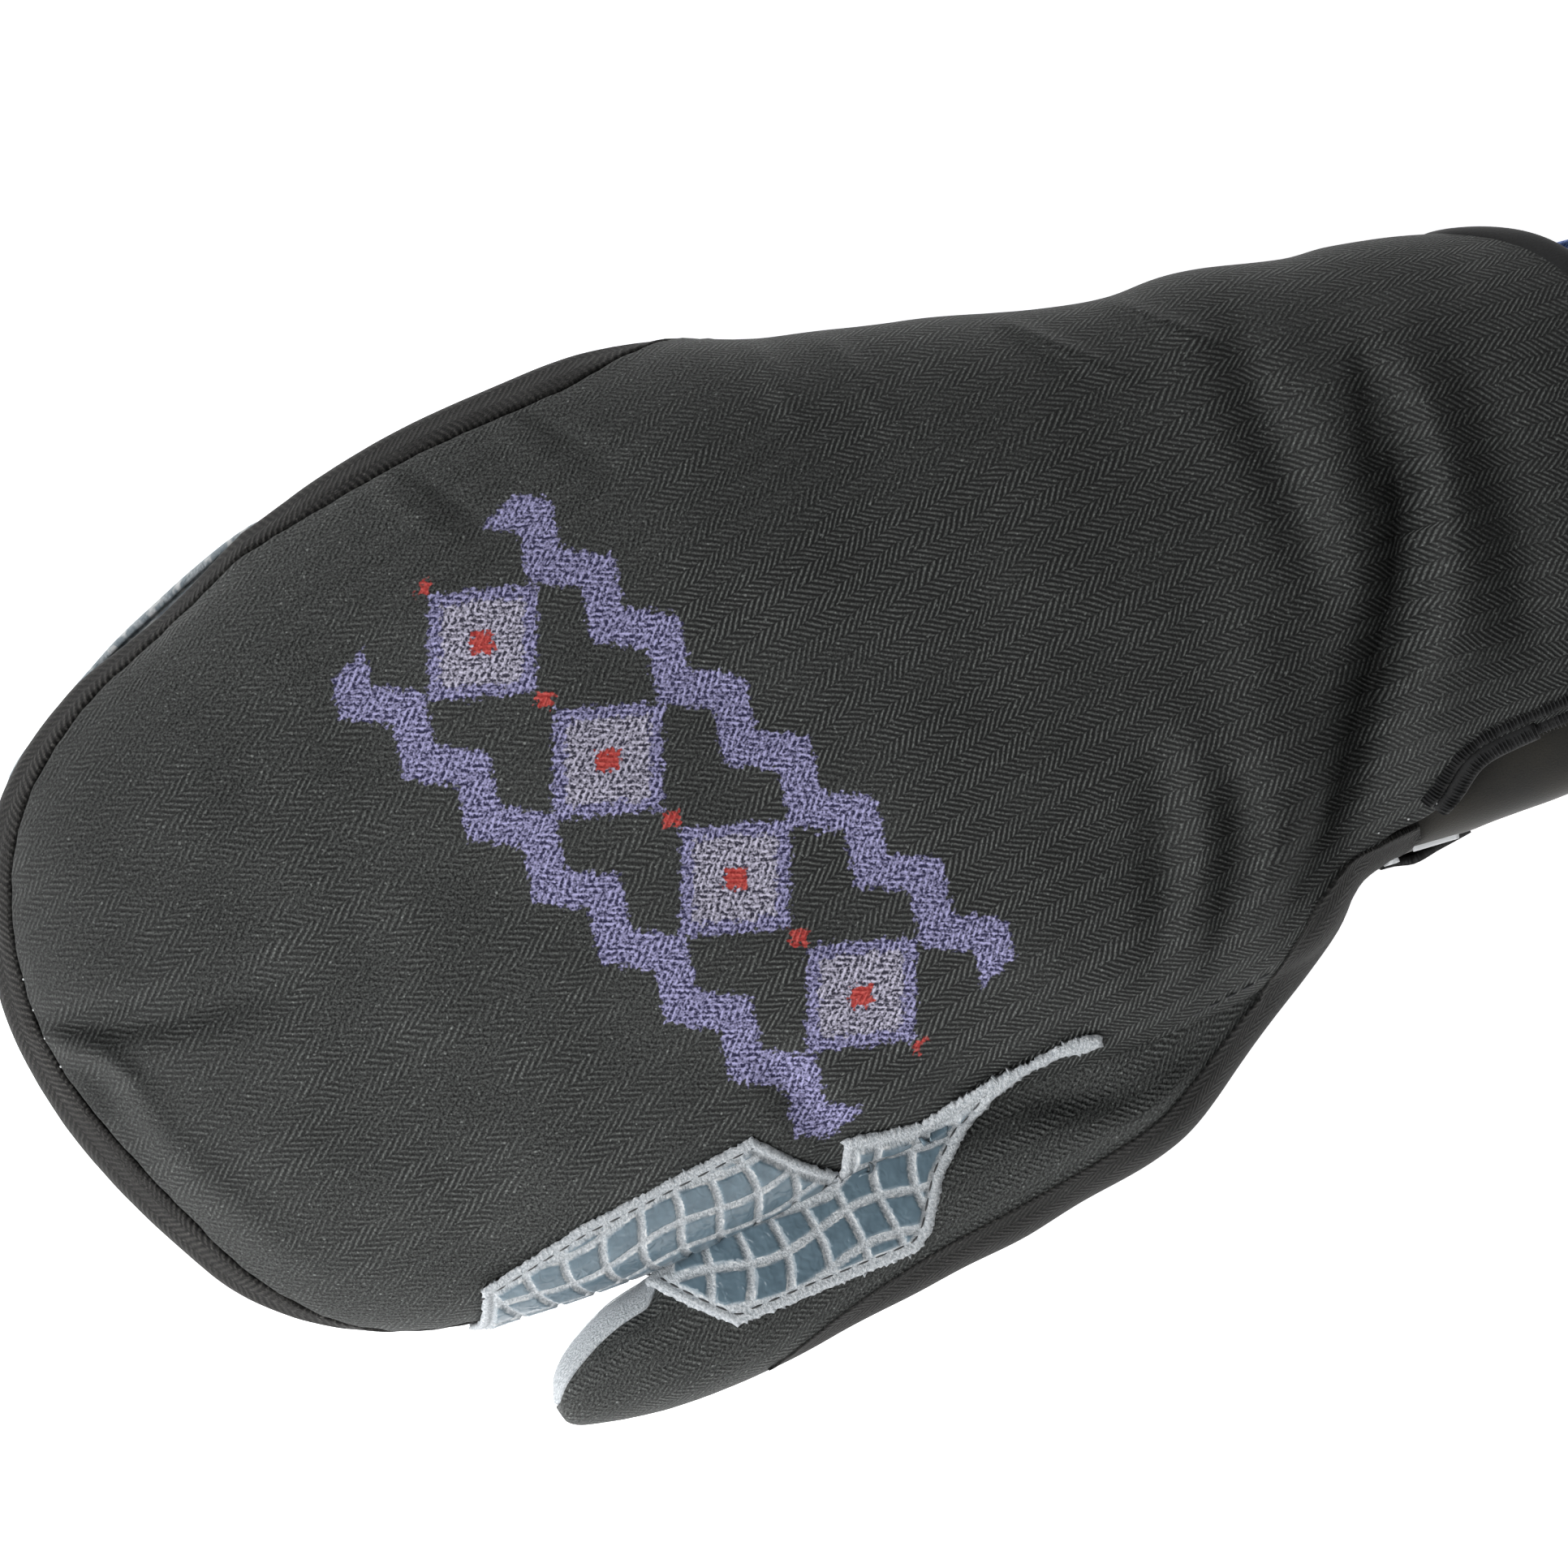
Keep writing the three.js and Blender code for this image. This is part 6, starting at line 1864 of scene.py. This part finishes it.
class MITTEN_OT_strap(bpy.types.Operator):
    """Makes the closure strap under the wrist"""

    bl_idname = "mitten.strap"
    bl_label = "Wrist strap"

    def execute(self, context):
        x = spaced(STRAP["from_x"], STRAP["to_x"], 1.1)
        grow = STRAP["stand_off"] + STRAP["thickness"] + column(STRAP_BULGE, x)[:, None]
        grids = []
        index_top = 23.0 - 6 * passage(x, "strap's edge sinks")
        for side, top_z in (("index", index_top), ("little_finger", 8.0 + 0 * x)):
            rays = side_rays(x, side)
            top, bottom = palm_seam_angle(rays, top_z), np.full_like(x, -math.pi / 2)
            surface = hand_surface(rays, grow=grow)
            points, _, _ = even_rows(surface, top, bottom, ROW_COUNT["strap"], seams=(False, False))
            grids.append(points if side == "index" else points[:, ::-1][:, 1:])
        points = np.concatenate(grids, axis=1)
        points[..., 2] = np.maximum(points[..., 2], 0.0)
        run = run_lengths(points)
        piece = grid_piece("wrist_strap_webbing", points, np.stack([run, points[..., 0]], -1), outwards=-1)
        give_wall(piece, STRAP["thickness"])
        finish_piece(piece, material("black_webbing"), ["wrist_strap"])
        for number, (start_x, start_y, end_x, end_y) in enumerate(STRAP_BARS):
            x = spaced(start_x, end_x, 0.6)
            y = np.interp(x, (start_x, end_x), (start_y, end_y))
            path = hand_point(side_rays(x, "index"), angle_above(x, y), grow=0.35, drop=UNDERCUFF["drop"])
            normals = np.broadcast_to((0.0, -0.5, 1.0), path.shape)
            bar = swept_piece(f"strap_bar_{number + 1}", path, normals, oval(0.85, 0.3, 12))
            finish_piece(bar, material("pale_bar"))
        return {"FINISHED"}


class MITTEN_OT_pull_loop(bpy.types.Operator):
    """Makes the webbing loop at the rim"""

    bl_idname = "mitten.pull_loop"
    bl_label = "Pull loop"

    def execute(self, context):
        flat = smoothed(even_flat(LOOP_LINE, 0.8), 8)
        angle = math.radians(LOOP["degrees"])
        turn = np.array([(math.cos(angle), math.sin(angle)), (-math.sin(angle), math.cos(angle))])
        placed = flat @ turn + (LOOP["x"], LOOP["y"])
        middle_z = LOOP["low_z"] + LOOP["width"] / 2
        path = np.concatenate([placed, np.full((len(placed), 1), middle_z)], axis=1)
        normals = unit(np.cross(np.gradient(path, axis=0), (0, 0, 1.0)))
        section = oval(LOOP["width"] / 2, LOOP["thickness"] / 2, 16)
        piece = swept_piece("pull_loop_webbing", path, normals, section)
        finish_piece(piece, material("blue_webbing"), ["pull_loop"])
        return {"FINISHED"}


class MITTEN_OT_stage(bpy.types.Operator):
    """Sets the floor, the lights and the camera"""

    bl_idname = "mitten.stage"
    bl_label = "Stage"

    def execute(self, context):
        stage = context.scene.mitten_stage
        mesh = bpy.data.meshes.new("floor")
        half = 3.0
        below = -0.0004
        corners = [(-half, -half, below), (half, -half, below), (half, half, below), (-half, half, below)]
        mesh.from_pydata(corners, [], [(0, 1, 2, 3)])
        floor = add_object("floor", mesh)
        paper, tree = start_material("floor_paper")
        shader = node(tree, SHADER, {
            "Base Color": opaque(stage.floor),
            "Roughness": 0.9,
            "Emission Color": opaque(stage.floor),
            "Emission Strength": stage.floor_glow,
        })
        node(tree, "ShaderNodeOutputMaterial", {"Surface": shader})
        mesh.materials.append(paper)
        floor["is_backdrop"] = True
        world = bpy.data.worlds.new("studio")
        world.use_nodes = True
        background = world.node_tree.nodes["Background"]
        background.inputs["Color"].default_value = (1, 1, 1, 1)
        background.inputs["Strength"].default_value = stage.sky
        context.scene.world = world
        context.scene.view_settings.view_transform = "Standard"
        for name, place, size in LIGHTS:
            self.light(name, place, size, getattr(stage, f"{name}_power"))
        self.camera(context, stage.camera_distance)
        return {"FINISHED"}

    def light(self, name, place, size, power):
        data = bpy.data.lights.new(name, "AREA")
        data.size = size
        data.energy = power
        lamp = add_object(name, data)
        lamp.location = place
        lamp.rotation_euler = (-Vector(place)).to_track_quat("-Z", "Y").to_euler()

    def camera(self, context, distance):
        """Looks straight down, as the photograph does, with the mitten's axis rising to the right."""
        data = bpy.data.cameras.new("camera")
        data.sensor_width = 36.0
        data.lens = data.sensor_width * distance / (VIEW["width"] * MM)
        camera = add_object("camera", data)
        x, y, _ = to_row((VIEW["x"], VIEW["y"], 0.0))
        camera.location = (x, y, distance + VIEW["focus_z"] * MM)
        camera.rotation_euler = (0.0, 0.0, math.radians(-VIEW["roll"]))
        context.scene.camera = camera


# The studio's lights. Columns: name, place and size in metres
LIGHTS = [
    ("key", (-0.65, -0.13, 0.42), 0.7),
    ("fill", (-0.1, -1.35, 0.5), 1.5),
    ("back", (0.45, 1.35, 0.22), 1.0),
]

# What the photograph shows: the middle of its frame, its width at the widest line, and the mitten's tilt
VIEW = {"x": 122.3, "y": -6.5, "width": 251.2, "roll": 19.0, "focus_z": 17.0}


class MITTEN_PT_sidebar(bpy.types.Panel):
    """Lists the steps that dress the mitten"""

    bl_idname = "MITTEN_PT_sidebar"
    bl_label = "Snowboard Mitten"
    bl_space_type = "VIEW_3D"
    bl_region_type = "UI"
    bl_category = "Mitten"

    def draw(self, context):
        layout = self.layout
        for group in (context.scene.mitten_sizes, context.scene.mitten_colours, context.scene.mitten_stage):
            box = layout.box()
            for name in group.__annotations__:
                box.prop(group, name)
        for operator in OPERATORS:
            layout.operator(operator.bl_idname)


GROUPS = {"mitten_sizes": MittenSizes, "mitten_colours": MittenColours, "mitten_stage": MittenStage}
OPERATORS = [
    MITTEN_OT_stage,
    MITTEN_OT_back_panel,
    MITTEN_OT_side_band,
    MITTEN_OT_palm_panel,
    MITTEN_OT_thumb,
    MITTEN_OT_heel_panel,
    MITTEN_OT_grip_patches,
    MITTEN_OT_cuff,
    MITTEN_OT_strap,
    MITTEN_OT_pull_loop,
    MITTEN_OT_stitches,
]


def register():
    for cls in [*GROUPS.values(), *OPERATORS, MITTEN_PT_sidebar]:
        bpy.utils.register_class(cls)
    for name, group in GROUPS.items():
        setattr(bpy.types.Scene, name, bpy.props.PointerProperty(type=group))


def unregister():
    for name in GROUPS:
        delattr(bpy.types.Scene, name)
    for cls in reversed([*GROUPS.values(), *OPERATORS, MITTEN_PT_sidebar]):
        bpy.utils.unregister_class(cls)


def main():
    register()
    for operator in OPERATORS:
        step = operator.bl_idname.split(".")[1]
        getattr(bpy.ops.mitten, step)()
    boxes = {"cad": CAD_BOX, "visual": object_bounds()}
    {name: [list(low), list(high)] for name, (low, high) in boxes.items()}


if __name__ == "__main__":
    main()
